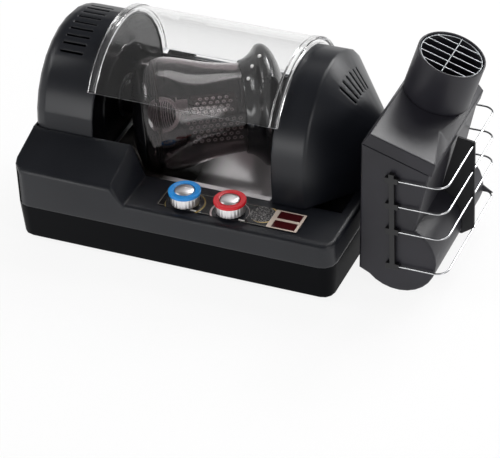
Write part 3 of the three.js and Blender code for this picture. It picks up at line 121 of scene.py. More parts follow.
def start_material(name, base, roughness, metallic=0.0, **sockets):
    material = bpy.data.materials.new(name)
    material.use_nodes = True
    tree = material.node_tree
    shader = tree.nodes["Principled BSDF"]
    shader.inputs["Base Color"].default_value = colour(base)
    shader.inputs["Roughness"].default_value = roughness
    shader.inputs["Metallic"].default_value = metallic
    for socket, value in sockets.items():
        shader.inputs[socket.replace("_", " ")].default_value = value
    points = add_node(tree, "ShaderNodeTexCoord").outputs["Object"]
    return material, tree, shader, points


print("middle grey in linear light", [round(c, 3) for c in colour("#808080")])

# %% [markdown]
# ## Moulded plastic
# The housings are injection-moulded ABS with a satin surface: the steel mould was spark-eroded, which
# leaves grains of about 0.3 mm. They are drawn at 0.9 mm or more, to show in a small picture too.
# Large soft patches vary the roughness, as handling does, and keep wide faces from looking printed.
# On the big housings a Bevel node turns the shading round every edge over a few millimetres, because
# a mould never leaves a sharp one, and the soft round shows as a pale line.

# %% Moulded plastic
PATCH_SIZE = 70


def noise(tree, points, size, detail):
    scale = 1 / (size * MM)
    return add_node(tree, "ShaderNodeTexNoise", {"Vector": points, "Scale": scale, "Detail": detail})


def moulded_plastic(name, base, worn, roughness, grain=0.9, depth=0.05, level=0.5, edge=0.0):
    material, tree, shader, points = start_material(name, base, roughness, Specular_IOR_Level=level)
    grains = noise(tree, points, grain, 2.0)
    patches = noise(tree, points, PATCH_SIZE, 3.0)
    tones = add_node(tree, "ShaderNodeValToRGB", {"Fac": patches.outputs["Fac"]})
    tones.color_ramp.elements[0].position = 0.3
    tones.color_ramp.elements[0].color = colour(base)
    tones.color_ramp.elements[1].position = 0.75
    tones.color_ramp.elements[1].color = colour(worn)
    sheen = add_node(
        tree,
        "ShaderNodeMapRange",
        {"Value": patches.outputs["Fac"], "To Min": roughness - 0.05, "To Max": roughness + 0.07},
    )
    bump = add_node(
        tree,
        "ShaderNodeBump",
        {"Height": grains.outputs["Fac"], "Strength": 0.35, "Distance": depth * MM},
    )
    if edge:
        softened = add_node(tree, "ShaderNodeBevel", {"Radius": edge * MM}, samples=6)
        tree.links.new(softened.outputs["Normal"], bump.inputs["Normal"])
    tree.links.new(tones.outputs["Color"], shader.inputs["Base Color"])
    tree.links.new(sheen.outputs["Result"], shader.inputs["Roughness"])
    tree.links.new(bump.outputs["Normal"], shader.inputs["Normal"])
    return material


satin_abs = moulded_plastic("Satin charcoal ABS", "#111319", "#17191f", 0.34, level=0.42, edge=3.5)
base_abs = moulded_plastic("Satin black ABS of the base", "#06070a", "#090a0d", 0.46, level=0.05)
collector_abs = moulded_plastic(
    "Matt charcoal ABS of the collector", "#1a191f", "#28272e", 0.4, 2.2, 0.08, level=0.4, edge=2.5
)
clip_abs = moulded_plastic("Black nylon clips", "#0e0e10", "#151517", 0.45)
fin_abs = moulded_plastic("Matt black ABS fin", "#111114", "#17171a", 0.6, 1.4, 0.09)
gloss_abs = moulded_plastic("Polished black ABS", "#08080a", "#0c0c0e", 0.16, 3.0, 0.01)
rubber = moulded_plastic("Black rubber", "#121212", "#1a1a1a", 0.85)
natural_nylon = moulded_plastic("Natural nylon", "#d8d3c2", "#e2ddce", 0.5)
cordierite = moulded_plastic("Cordierite heater core", "#ddd5c4", "#ebe4d6", 0.85, 1.6, 0.12)
print("moulded finishes", satin_abs.name, "|", base_abs.name, "|", collector_abs.name)

# %% [markdown]
# ## Metals
# The tray, plates and vanes are stainless sheet with a rolled, lightly brushed face. Brushing leaves
# fine parallel lines along X, so a noise pattern is stretched that way and used for roughness and a
# very shallow bump. The tray and the punched edges are only partly metallic, which keeps them pale
# where a full mirror would show the dark housings. The punched edges, rivet heads and strainer ribs
# are near-white steel: a painted glint. Chrome wire has no grain to speak of: only a little polish haze.

# %% Metals


def brushed_metal(name, base, roughness, line=0.5, reach=60.0, metallic=1.0):
    material, tree, shader, points = start_material(name, base, roughness, metallic)
    stretched = add_node(tree, "ShaderNodeMapping", {"Vector": points, "Scale": (line / reach, 1.0, 1.0)})
    lines = noise(tree, stretched.outputs["Vector"], line, 3.0)
    streaks = add_node(
        tree,
        "ShaderNodeMapRange",
        {"Value": lines.outputs["Fac"], "To Min": roughness - 0.08, "To Max": roughness + 0.12},
    )
    bump = add_node(
        tree,
        "ShaderNodeBump",
        {"Height": lines.outputs["Fac"], "Strength": 0.2, "Distance": 0.02 * MM},
    )
    tree.links.new(streaks.outputs["Result"], shader.inputs["Roughness"])
    tree.links.new(bump.outputs["Normal"], shader.inputs["Normal"])
    return material


stainless = brushed_metal("Brushed stainless sheet", "#e6e2e3", 0.3)
warm_stainless = brushed_metal("Heat-tinted stainless", "#3f3734", 0.4)
# Near-white and only partly metallic, so that it reads bright: a painted glint.
painted_glint_steel = brushed_metal("Near-white steel with painted glint", "#fdfbfa", 0.25, metallic=0.3)
silver_plate = brushed_metal("Satin silver plating", "#e3e1e2", 0.34, 0.6, 4.0)
zinc = brushed_metal("Zinc-plated steel", "#9a9da0", 0.4, 0.8, 12.0)
chrome = brushed_metal("Chrome-plated wire", "#c6c7c9", 0.12, 1.2, 30.0)
print("steel finishes", stainless.name, "|", warm_stainless.name, "|", painted_glint_steel.name)

# %% [markdown]
# The bay tray is pale on the right. Towards the air inlet on the left its colour is painted dark: a
# painted shadow of the drum above and a painted reflection of its dark caps, which thins out over a
# few centimetres.

# %% Tray with painted shade
SHADE_FULL_UNTIL, SHADE_GONE_FROM = 150, 190
tray_steel_painted_shade = brushed_metal("Brushed stainless tray with painted drum shade", "#f6f2f3", 0.16, metallic=0.45)
tree = tray_steel_painted_shade.node_tree
shader = tree.nodes["Principled BSDF"]
points = add_node(tree, "ShaderNodeTexCoord").outputs["Object"]
shade_place = add_node(tree, "ShaderNodeSeparateXYZ", {"Vector": points}).outputs["X"]
# This mask is painted shade: the drum's shadow and its dark reflection, dark on the left and fading out to
# the right.
film = add_node(
    tree,
    "ShaderNodeMapRange",
    {"Value": shade_place, "From Min": place(SHADE_FULL_UNTIL, 0, 0).x, "From Max": place(SHADE_GONE_FROM, 0, 0).x},
    interpolation_type="SMOOTHSTEP",
).outputs["Result"]
tones = add_node(tree, "ShaderNodeValToRGB", {"Fac": film})
# The dark end of the ramp is the colour of the painted shadow and reflection.
tones.color_ramp.elements[0].color = colour("#1a1716")
tones.color_ramp.elements[1].color = colour("#f6f2f3")
tree.links.new(tones.outputs["Color"], shader.inputs["Base Color"])
print(tray_steel_painted_shade.name, "painted shade gone from", SHADE_GONE_FROM, "mm")

# %% [markdown]
# ## Clear pieces
# The cover is clear polycarbonate and the drum is borosilicate glass that roasting smoke has turned
# brown. Both are real walls with an inside and an outside, so light bends in and out of them by itself.

# %% Clear pieces


def clear_wall(name, base, roughness, ior, haze=0.0):
    material, tree, shader, points = start_material(name, base, roughness, IOR=ior, Transmission_Weight=1.0)
    film = noise(tree, points, 45, 4.0)
    smear = add_node(
        tree,
        "ShaderNodeMapRange",
        {
            "Value": film.outputs["Fac"],
            "From Min": 0.4,
            "From Max": 0.8,
            "To Min": roughness,
            "To Max": roughness + haze,
        },
    )
    tree.links.new(smear.outputs["Result"], shader.inputs["Roughness"])
    return material


clear_polycarbonate = clear_wall("Clear polycarbonate", "#fcfcfc", 0.0, 1.4, 0.01)
smoked_glass = clear_wall("Smoked borosilicate glass", "#b0a6a8", 0.0, 1.47, 0.01)
print("clear finishes", clear_polycarbonate.name, "|", smoked_glass.name)

# %% [markdown]
# ## Knobs, windows and board
# The dial rings are glossy coloured ABS, and the windows over the displays are dark red acrylic. The
# circuit board below is green fibreglass and never seen.

# %% Small finishes
blue_abs = moulded_plastic("Glossy blue ABS", "#1c86d6", "#2592e0", 0.2, 3.0, 0.01)
red_abs = moulded_plastic("Glossy red ABS", "#cc0f1f", "#d81828", 0.2, 3.0, 0.01)
red_acrylic = moulded_plastic("Dark red acrylic window", "#3a0b0e", "#451014", 0.12, 3.0, 0.01)
board_green = moulded_plastic("Green solder mask", "#1d5532", "#24643c", 0.45)
print("small finishes", blue_abs.name, "|", red_abs.name, "|", red_acrylic.name)

# %% [markdown]
# ## Printed console plate
# The plate is glossy black with plain printed fields: a pale frame, an arc round each dial, a round
# speckled field and a cream field behind the windows. Every field is a rounded box or a disc: a point
# lies in it when it is nearer to a plain box than the field's radius. Fields are painted in order,
# the later over the earlier.

# %% Printed plate
PLATE_BLACK = "#0c0c0e"
SPECKLED = "speckled"
fields = [
    ((253.0, 32.0), (80.4, 14.9), 1.6, "#8d8981"),
    ((253.0, 32.0), (79.9, 14.4), 1.6, PLATE_BLACK),
    ((200.0, 26.5), (0.0, 0.0), 22.6, "#a08a4e"),
    ((199.0, 27.5), (0.0, 0.0), 21.6, "#26272b"),
    ((252.6, 27.4), (0.0, 0.0), 22.0, "#c9b6b4"),
    ((253.6, 27.0), (0.0, 0.0), 20.8, "#26272b"),
    ((290.2, 35.2), (0.0, 0.0), 15.4, "#c9ad72"),
    ((288.6, 35.4), (0.0, 0.0), 14.6, SPECKLED),
    ((317.6, 32.0), (16.4, 15.4), 1.4, "#d9c8bb"),
    ((213.6, 16.7), (2.6, 0.0), 1.1, "#f2efe9"),
    ((270.8, 17.4), (2.6, 0.0), 1.1, "#f2efe9"),
]
printed_plate, tree, shader, points = start_material("Printed glossy console plate", PLATE_BLACK, 0.22)
speckles = noise(tree, points, 1.3, 1.0)
dots = add_node(tree, "ShaderNodeValToRGB", {"Fac": speckles.outputs["Fac"]})
dots.color_ramp.elements[0].position = 0.5
dots.color_ramp.elements[0].color = colour("#1b1b1e")
dots.color_ramp.elements[1].position = 0.62
dots.color_ramp.elements[1].color = colour("#8d8a88")


def inside(tree, points, centre, half, radius):
    spot = place(*centre, 0.0)
    shifted = add_node(tree, "ShaderNodeVectorMath", {0: points, 1: spot}, operation="SUBTRACT").outputs[0]
    flat = add_node(tree, "ShaderNodeVectorMath", {0: shifted, 1: (1, 1, 0)}, operation="MULTIPLY").outputs[0]
    size = add_node(tree, "ShaderNodeVectorMath", {0: flat}, operation="ABSOLUTE").outputs[0]
    core = (half[0] * MM, half[1] * MM, 0.0)
    beyond = add_node(tree, "ShaderNodeVectorMath", {0: size, 1: core}, operation="SUBTRACT").outputs[0]
    outer = add_node(tree, "ShaderNodeVectorMath", {0: beyond, 1: (0, 0, 0)}, operation="MAXIMUM").outputs[0]
    away = add_node(tree, "ShaderNodeVectorMath", {0: outer}, operation="LENGTH").outputs["Value"]
    return add_node(tree, "ShaderNodeMath", {0: away, 1: radius * MM}, operation="LESS_THAN").outputs[0]


layer = None
for centre, half, radius, tint in fields:
    ink = dots.outputs["Color"] if tint is SPECKLED else colour(tint)
    under = layer if layer else colour(PLATE_BLACK)
    mask = inside(tree, points, centre, half, radius)
    layer = add_node(tree, "ShaderNodeMixRGB", {"Fac": mask, "Color1": under, "Color2": ink}).outputs[0]
tree.links.new(layer, shader.inputs["Base Color"])
ripple = noise(tree, points, 6, 2.0)
bump = add_node(
    tree, "ShaderNodeBump", {"Height": ripple.outputs["Fac"], "Strength": 0.15, "Distance": 0.02 * MM}
)
tree.links.new(bump.outputs["Normal"], shader.inputs["Normal"])
print("printed fields", len(fields))

# %% [markdown]
# ## Dressing a solid
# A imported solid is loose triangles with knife-sharp edges. Moulded parts never have those, and a
# small round catches the light that tells the eye how the shape turns. So each solid is copied, its
# corners are merged, its flat faces are joined, and a bevel modifier rounds what is sharper than 32°.

# %% Dress a solid
body_of_node = {n: b for b, nodes in frame["record"]["behaviour"]["bodies"].items() for n in nodes}
SHARP_ANGLE = 32.0
WIDE_BEVEL = 0.8


def own(piece, *nodes):
    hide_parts(*nodes)
    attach(piece, body_of_node[nodes[0]])


def finish_mesh(name, mesh, *materials, angle=SHARP_ANGLE):
    piece = bpy.data.objects.new(name, mesh)
    bpy.context.scene.collection.objects.link(piece)
    # Clearing sets every face back to the first material, so only the copy of a solid is cleared.
    if len(mesh.materials):
        mesh.materials.clear()
    for material in materials:
        mesh.materials.append(material)
    mesh.polygons.foreach_set("use_smooth", [True] * len(mesh.polygons))
    mesh.set_sharp_from_angle(angle=math.radians(angle))
    return piece


def dress(node, material, bevel, segments):
    mesh = frame["nodes"][node].data.copy()
    mesh.name = node
    work = bmesh.new()
    work.from_mesh(mesh)
    bmesh.ops.remove_doubles(work, verts=work.verts, dist=1e-6)
    bmesh.ops.dissolve_limit(work, angle_limit=math.radians(0.5), verts=work.verts, edges=work.edges)
    work.to_mesh(mesh)
    work.free()
    piece = finish_mesh(node + "_finished", mesh, material)
    if bevel:
        rounding = piece.modifiers.new("Rounded edges", "BEVEL")
        rounding.width = bevel * MM
        rounding.segments = segments
        rounding.limit_method = "ANGLE"
        rounding.angle_limit = math.radians(SHARP_ANGLE)
        rounding.harden_normals = True
    own(piece, node)


dressed = {
    "upper_shell": (satin_abs, 1.2),
    "left_housing": (satin_abs, 0.5),
    "right_housing": (satin_abs, 0.5),
    "lower_base": (base_abs, 1.0),
    "left_bulkhead": (gloss_abs, 0.3),
    "right_bulkhead": (gloss_abs, 0.3),
    "rear_panel": (gloss_abs, 0.3),
    "console_plate": (printed_plate, 0.15),
    "cover_knuckle_left": (gloss_abs, 0.3),
    "cover_knuckle_right": (gloss_abs, 0.3),
    "collector_body": (collector_abs, 0.8),
    "collector_lid": (collector_abs, 1.0),
    "exhaust_duct": (clip_abs, 0.3),
    "wire_retainer_front": (clip_abs, 0.4),
    "wire_retainer_rear": (clip_abs, 0.4),
    "collector_fin": (fin_abs, 0.4),
    "blower_housing": (base_abs, 0.4),
    "bay_tray": (tray_steel_painted_shade, 0.2),
    "outlet_plate": (warm_stainless, 0.2),
    "chaff_screen": (stainless, 0.0),
    "time_display": (red_acrylic, 0.2),
    "temperature_display": (red_acrylic, 0.2),
    "control_board": (board_green, 0.2),
    "left_bearing": (clip_abs, 0.3),
    "right_bearing": (clip_abs, 0.3),
    "drive_gear": (natural_nylon, 0.2),
    "blower_impeller": (natural_nylon, 0.2),
    "heater_core": (cordierite, 0.3),
    "heater_duct": (zinc, 0.3),
    "hinge_pin": (zinc, 0.2),
    "gear_motor": (zinc, 0.4),
    "motor_bracket": (zinc, 0.3),
    "motor_pinion": (zinc, 0.15),
    "blower_motor": (zinc, 0.4),
    "time_spindle": (zinc, 0.2),
    "temperature_spindle": (zinc, 0.2),
    "cord_gland": (rubber, 0.4),
}
for name in ("front_left", "rear_left", "front_right", "rear_right"):
    dressed["foot_" + name] = (rubber, 0.5)
for node, (material, bevel) in dressed.items():
    dress(node, material, bevel, 4 if bevel >= WIDE_BEVEL else 2)
print("dressed", len(dressed), "left", sorted(set(frame["nodes"]) - set(dressed)))

# %% [markdown]
# ## Turned pieces
# Glass, caps, knobs and pipes are round. Each is drawn as half a section, point by point, and spun
# round its own line with enough steps to look round. Every section closes on itself, so the piece has
# an inside as well as an outside.

# %% Spin a section
FLUTED_BEYOND = 15.5
FLUTE_DEPTH = 0.016
LONG_RUN = 15
HOLD_AT = 0.4


def held(section):
    """Add a point close to both ends of each long run, so that its shading stays straight."""
    result = []
    for start, end in zip(section, section[1:] + section[:1]):
        result.append(start)
        run = Vector(end) - Vector(start)
        if run.length > LONG_RUN:
            step = run.normalized() * HOLD_AT
            result.extend([tuple(Vector(start) + step), tuple(Vector(end) - step)])
    return result


def turned(name, section, matrix, material, steps=96, angle=SHARP_ANGLE, flutes=0):
    work = bmesh.new()
    points = [work.verts.new((radius, 0.0, height)) for radius, height in held(section)]
    edges = [work.edges.new(pair) for pair in zip(points, points[1:] + points[:1])]
    bmesh.ops.spin(
        work,
        geom=points + edges,
        cent=(0, 0, 0),
        axis=(0, 0, 1),
        angle=2 * math.pi,
        steps=steps,
        use_merge=True,
    )
    bmesh.ops.remove_doubles(work, verts=work.verts, dist=1e-4)
    for vert in work.verts:
        if flutes and math.hypot(*vert.co.xy) > FLUTED_BEYOND:
            turn = math.atan2(vert.co.y, vert.co.x)
            vert.co.xy *= 1 - FLUTE_DEPTH * (1 + math.cos(flutes * turn))
    bmesh.ops.recalc_face_normals(work, faces=work.faces)
    bmesh.ops.transform(work, matrix=matrix, verts=work.verts)
    mesh = bpy.data.meshes.new(name)
    work.to_mesh(mesh)
    work.free()
    return finish_mesh(name, mesh, material, angle=angle)


print("flutes", FLUTE_DEPTH * 100, "per cent deep beyond", FLUTED_BEYOND, "mm")

# %% [markdown]
# ## The glass drum
# The glass is a bulb. It swells towards its left end, turns in there as far as a small black cap, and
# narrows to the right, where it stands in a flared black collar with a dome. The glass is a wall of
# even thickness: up to the shoulder the inside repeats the outside, nearer to the line, and round
# the shoulder it is drawn square to the wall.

# %% Glass
WALL = 2.5
SHOULDER = -62
glass_outside = [
    (56.0, -78.0), (58.5, -76.8), (60.8, -75.2), (62.7, -73.3), (64.3, -70.9), (65.5, -68.0), (66.2, -64.6),
    (66.5, -60.0), (66.2, -54.0), (65.2, -44.0), (63.4, -34.0), (61.0, -24.0), (57.9, -12.0), (55.0, 0.0),
    (52.9, 12.0), (51.5, 24.0), (50.8, 34.0), (50.5, 43.5),
]
glass_inside = [(radius - WALL, along) for radius, along in reversed(glass_outside) if along > SHOULDER]
glass_inside += [
    (63.7, -64.3), (63.1, -67.2), (62.1, -69.6), (60.8, -71.6), (59.2, -73.2), (57.3, -74.6), (54.8, -75.8),
]
glass = turned("drum_glass", glass_outside + glass_inside, drum_matrix, smoked_glass, 128)
own(glass, "glass_tube")
print("glass", [round(v, 3) for v in glass.dimensions])

# %% [markdown]
# ## The drum's caps
# Both caps carry a sleeve that lies on the level line on which the drum turns, so the whole drum
# wobbles as it goes round. The right one has three rivets at its collar; their round heads are
# near-white steel, a painted glint.

# %% Left cap
left_section = [
    (58.1, -76.9), (58.7, -77.0), (58.7, -77.7), (57.8, -78.4), (54.8, -79.9), (48.5, -82.0), (42.0, -83.9),
    (35.0, -85.4), (28.0, -86.3), (0.0, -86.3), (0.0, -83.7), (26.0, -83.7), (40.5, -81.1), (50.0, -78.0),
    (54.4, -75.9), (56.0, -78.1),
]
sleeve_matrix = (
    Matrix.Translation(place(0, AXIS_Y, AXIS_Z)) @ Matrix.Rotation(math.pi / 2, 4, "Y") @ Matrix.Scale(MM, 4)
)


def sleeve(name, start, end):
    section = [
        (19.4, start), (20.0, start + 0.6), (20.0, end - 0.6), (19.4, end),
        (17.5, end), (17.0, end - 0.5), (17.0, start + 0.5), (17.5, start),
    ]
    return turned(name, section, sleeve_matrix, gloss_abs, 48)


def joined(name, *parts):
    work = bmesh.new()
    for part in parts:
        work.from_mesh(part.data)
    mesh = bpy.data.meshes.new(name)
    work.to_mesh(mesh)
    work.free()
    materials = max((list(part.data.materials) for part in parts), key=len)
    for part in parts:
        bpy.data.objects.remove(part)
    return finish_mesh(name, mesh, *materials)


left_bowl = joined(
    "left_bowl",
    turned("left_bowl_shell", left_section, drum_matrix, gloss_abs),
    sleeve("left_sleeve", 50.0, 92.0),
)
own(left_bowl, "left_cap")
print("left cap", [round(v, 3) for v in left_bowl.dimensions])

# %% Right cap
right_section = [
    (51.2, 38.3), (52.6, 38.3), (53.2, 38.9), (54.2, 43.0), (55.6, 46.0), (58.6, 50.2), (62.2, 53.9),
    (65.8, 56.6), (68.4, 58.8), (69.6, 61.5), (69.9, 64.0), (69.6, 66.5), (67.9, 69.6), (64.8, 73.0),
    (60.4, 76.1), (55.6, 78.6), (49.5, 81.0), (43.0, 83.2), (36.0, 85.1), (30.0, 86.3), (0.0, 86.3),
    (0.0, 83.7), (28.0, 83.7), (41.5, 81.2), (53.0, 76.6), (61.6, 71.0), (66.2, 64.8), (66.0, 61.4),
    (62.6, 57.4), (56.0, 51.4), (50.0, 47.4), (47.2, 46.0), (47.2, 44.3), (51.2, 44.3),
]


def small_piece(name, work, *materials):
    """Lay a bmesh drawn in drum millimetres in place, all of it in the last material given."""
    for face in work.faces:
        face.material_index = len(materials) - 1
    bmesh.ops.transform(work, matrix=drum_matrix, verts=work.verts)
    mesh = bpy.data.meshes.new(name)
    work.to_mesh(mesh)
    work.free()
    return finish_mesh(name, mesh, *materials)


def rivet(turn, radius, along):
    work = bmesh.new()
    turn = math.radians(turn)
    spot = Matrix.Translation((-radius * math.sin(turn), radius * math.cos(turn), along))
    bmesh.ops.create_uvsphere(work, u_segments=20, v_segments=12, radius=2.3, matrix=spot)
    return small_piece("cap_rivet", work, gloss_abs, painted_glint_steel)


right_dome = joined(
    "right_dome",
    turned("right_dome_shell", right_section, drum_matrix, gloss_abs),
    sleeve("right_sleeve", 250.0, 300.0),
    rivet(96, 69.0, 59.8),
    rivet(100, 59.4, 50.8),
    rivet(114, 55.2, 44.8),
)
own(right_dome, "right_cap")
print("right cap", [round(v, 3) for v in right_dome.dimensions])

# %% [markdown]
# ## The punched vane
# The vane is steel sheet punched with staggered rows of round holes. Such a pattern is a lattice of
# six-sided cells, and plain cells fill the margins. Each side of a cell is cut in three, so that a
# hole drawn from it has 18 corners. The sheet is laid out flat, with X along the drum and Y away from
# the fold.

# %% Cells of the sheet
HOLE_PITCH = 7.6
ROW_SHARE = 0.9
ROW_PITCH = HOLE_PITCH * ROW_SHARE
MARGIN = 6
HOLE_ROOM = 2.9
SPARE_CELLS = 2
COLUMNS = 16


def draw_cells(work, left, far_left, right, reach, first_row):
    """Fill the sheet with cells, and give back the middles of those that become holes."""
    rows = 1 + int((reach - first_row - HOLE_ROOM) / ROW_PITCH)
    squeeze = Matrix.Diagonal((1, ROW_SHARE / math.sqrt(0.75), 1, 1))
    holes = []
    for row in range(-SPARE_CELLS, rows + SPARE_CELLS):
        out = first_row + row * ROW_PITCH
        edge = left + (far_left - left) * out / reach
        for column in range(-SPARE_CELLS, COLUMNS):
            along = right - MARGIN - (column + 0.5 * (row % 2)) * HOLE_PITCH
            spot = Matrix.Translation((along, out, 0)) @ squeeze
            bmesh.ops.create_circle(
                work, cap_ends=True, segments=6, radius=HOLE_PITCH / math.sqrt(3), matrix=spot
            )
            if 0 <= row < rows and column >= 0 and along > edge + MARGIN:
                holes.append(Vector((along, out, 0)))
    bmesh.ops.remove_doubles(work, verts=work.verts, dist=0.05)
    bmesh.ops.subdivide_edges(work, edges=work.edges, cuts=2)
    return holes


print("holes", HOLE_PITCH, "mm apart, rows", round(ROW_PITCH, 2), "mm apart")

# %% [markdown]
# A hole's cell is inset twice, and the inner corners are moved onto a circle each time: the first
# circle is the rim in the sheet's face, the second is smaller and sunk. What is left between them is
# the bevel that the punch leaves, coloured near-white: a painted glint.

# %% Holes
RIM = {"radius": 2.4, "depth": 0.0}
HOLE = {"radius": 1.0, "depth": 0.5}


def punch(work, holes):
    for round_off in (RIM, HOLE):
        cells = [
            face for face in work.faces
            if any((face.calc_center_median() - hole).length < 0.3 for hole in holes) and len(face.verts) > 4
        ]
        inset = bmesh.ops.inset_individual(work, faces=cells, thickness=0.3)
        for face in inset["faces"]:
            # Index 1 is the near-white steel, so the bevel ring is a painted glint.
            face.material_index = 1 if round_off is HOLE else 0
        for cell in cells:
            centre = cell.calc_center_median()
            centre.z = 0
            for vert in cell.verts:
                flat = vert.co - centre
                flat.z = 0
                sunk = Vector((0, 0, round_off["depth"]))
                vert.co = centre + flat.normalized() * round_off["radius"] - sunk
    bmesh.ops.delete(work, geom=cells, context="FACES_ONLY")


print("rim", RIM["radius"], "mm, hole", HOLE["radius"], "mm in radius")

# %% [markdown]
# Four cuts give each leaf its outline, solidify gives the sheet its thickness, and one matrix stands
# the leaf in the drum at its own slant. Two small plates make the bracket that holds the vane.

# %% Leaves and bracket
FOLD_DROP = 8
SHEET = 1.2


def leaf(name, left, far_left, right, reach, slant, first_row):
    work = bmesh.new()
    holes = draw_cells(work, left, far_left, right, reach, first_row)
    punch(work, holes)
    for spot, away in (
        ((right, 0, 0), (1, 0, 0)),
        ((0, reach, 0), (0, 1, 0)),
        ((0, -0.3, 0), (0, -1, 0)),
        ((left, 0, 0), (-reach, far_left - left, 0)),
    ):
        everything = work.verts[:] + work.edges[:] + work.faces[:]
        bmesh.ops.bisect_plane(work, geom=everything, plane_co=spot, plane_no=away, clear_outer=True)
    bmesh.ops.solidify(work, geom=work.faces[:], thickness=SHEET)
    bmesh.ops.recalc_face_normals(work, faces=work.faces)
    along_drum = Vector((0, 0, 1))
    outward = Vector((-math.sin(slant), math.cos(slant), 0))
    facing = Vector((-math.cos(slant), -math.sin(slant), 0))
    lay = Matrix((along_drum, outward, facing)).transposed().to_4x4()
    bmesh.ops.transform(
        work, matrix=drum_matrix @ Matrix.Translation((FOLD_DROP, 0, 0)) @ lay, verts=work.verts
    )
    mesh = bpy.data.meshes.new(name)
    work.to_mesh(mesh)
    work.free()
    piece = bpy.data.objects.new(name, mesh)
    bpy.context.scene.collection.objects.link(piece)
    mesh.materials.append(warm_stainless)
    mesh.materials.append(painted_glint_steel)
    print(name, "holes", len(holes), "faces", len(mesh.polygons))
    return piece


def plate(name, centre, size, *materials):
    work = bmesh.new()
    bmesh.ops.create_cube(work, size=1.0, matrix=Matrix.Translation(centre) @ Matrix.Diagonal((*size, 1)))
    bmesh.ops.bevel(
        work, geom=work.edges, offset=0.3, segments=2, profile=0.5, affect="EDGES", material=-1
    )
    return small_piece(name, work, *materials)


upper_leaf = leaf("upper_leaf", -26.0, -18.0, 33.0, 34.0, math.radians(15), 7.0)
lower_leaf = leaf("lower_leaf", -35.0, -22.0, 41.5, 39.0, math.radians(273), 6.0)
# Both plates are wholly in the last material given, the near-white steel of the painted glint.
web = plate("vane_bracket", (-9.0, 0.5, -30.0), (17.0, 1.2, 13.0), warm_stainless, painted_glint_steel)
flange = plate("vane_flange", (-9.0, 3.5, -36.0), (17.0, 7.0, 1.2), warm_stainless, painted_glint_steel)
own(joined("punched_vane", upper_leaf, lower_leaf, web, flange), "stirring_vane")

# %% [markdown]
# ## Rods
# A round rod is drawn as a curve with a bevel, and turned into a mesh when its line is right.

# %% Rods
ROD_RESOLUTION = 3


def wire(name, runs, radius, material, cyclic=False):
    curve = bpy.data.curves.new(name, "CURVE")
    curve.dimensions = "3D"
    curve.bevel_depth = radius * MM
    curve.bevel_resolution = ROD_RESOLUTION
    curve.use_fill_caps = True
    for run in runs:
        line = curve.splines.new("POLY")
        line.points.add(len(run) - 1)
        for point, spot in zip(line.points, run):
            point.co = (*spot, 1.0)
        line.use_cyclic_u = cyclic
    holder = bpy.data.objects.new(name, curve)
    bpy.context.scene.collection.objects.link(holder)
    bpy.context.view_layer.update()
    mesh = bpy.data.meshes.new_from_object(holder)
    bpy.data.objects.remove(holder)
    mesh.name = name
    return finish_mesh(name, mesh, material, angle=60.0)


print("rods, bevel resolution", ROD_RESOLUTION)

# %% [markdown]
# ## The inlet ring
# The glass is stiffened at the strainer by a flat ring with three spokes. One spoke is drawn three
# times, and each is turned about the drum's line by its own third of a turn.

# %% Inlet ring
SPOKES = 3
ring_section = [
    (52.0, -59.7), (52.4, -60.1), (62.6, -60.1), (63.0, -59.7),
    (63.0, -58.3), (62.6, -57.9), (52.4, -57.9), (52.0, -58.3),
]
spokes = []
for count in range(SPOKES):
    spoke = plate("plate_spoke", (36.2, 0.0, -59.0), (34.0, 7.0, 1.6), warm_stainless)
    turn = Matrix.Rotation(2 * math.pi * (count + 0.5) / SPOKES, 4, "Z")
    spoke.data.transform(drum_matrix @ turn @ drum_matrix.inverted())
    spokes.append(spoke)
inlet = joined(
    "inlet_spider",
    turned("spider_ring", ring_section, drum_matrix, warm_stainless),
    *spokes,
)
own(inlet, "inlet_plate")
print("spokes", SPOKES)

# %% [markdown]
# ## The air strainer
# Hot air comes in through a domed strainer: bent ribs on a rolled collar, both near-white steel as a
# painted glint, over a thin dark dome that is painted shade for the dark inside seen between the ribs.
# It leans from the drum's line until it faces the front, beside the vane's bracket. An arc drawn from
# the dome's radius serves the ribs and the dome alike.

# %% Strainer
DOME_RADIUS = 15.8
SHADE_DOME_WALL = 0.8
DOME_PLACE = -53.0
DOME_LEAN = math.radians(102)
RIB_PITCH = 2.4
RIB_COUNT = 12


def dome_arc(radius, start, end, steps):
    turns = [math.radians(start + (end - start) * i / steps) for i in range(steps + 1)]
    return [(radius * math.sin(turn), radius * math.cos(turn)) for turn in turns]


# Both are square to the drum's line: the first points away from the camera, the ribs follow the second.
across = Vector((0.58, 0.81, 0.0)).normalized()
along_rib = Vector((0.81, -0.58, 0.0)).normalized()
seat = drum_matrix @ Matrix.Translation((0, 0, DOME_PLACE)) @ Matrix.Rotation(DOME_LEAN, 4, along_rib)
ribs = []
for count in range(RIB_COUNT):
    offset = (count - (RIB_COUNT - 1) / 2) * RIB_PITCH
    reach = math.sqrt(DOME_RADIUS**2 - offset**2)
    arc = dome_arc(reach, -90, 90, 14)
    ribs.append([seat @ (across * offset + along_rib * side + Vector((0, 0, up))) for side, up in arc])
# The dark dome is painted shade: a black sheet under the ribs where only the shaded inside would show.
shade_dome_outside = DOME_RADIUS - 1.0
shade_dome_section = dome_arc(shade_dome_outside, 0, 90, 10) + dome_arc(shade_dome_outside - SHADE_DOME_WALL, 90, 0, 10)
collar_section = [
    (15.2, -1.8), (15.6, -2.2), (19.6, -2.2), (20.2, -1.6), (20.2, 0.2), (19.6, 0.8), (17.2, 0.8),
    (16.9, 1.3), (16.7, 2.2), (16.2, 2.4), (15.6, 2.0),
]
cage = [
    wire("strainer_ribs", ribs, 0.55, painted_glint_steel),
    turned("strainer_collar", collar_section, seat, painted_glint_steel, 72),
]
for part in cage:
    part.data.materials.clear()
    part.data.materials.append(gloss_abs)
    part.data.materials.append(painted_glint_steel)
    for face in part.data.polygons:
        face.material_index = 1
strainer = joined("ribbed_strainer", turned("strainer_painted_shade_dome", shade_dome_section, seat, gloss_abs, 48), *cage)
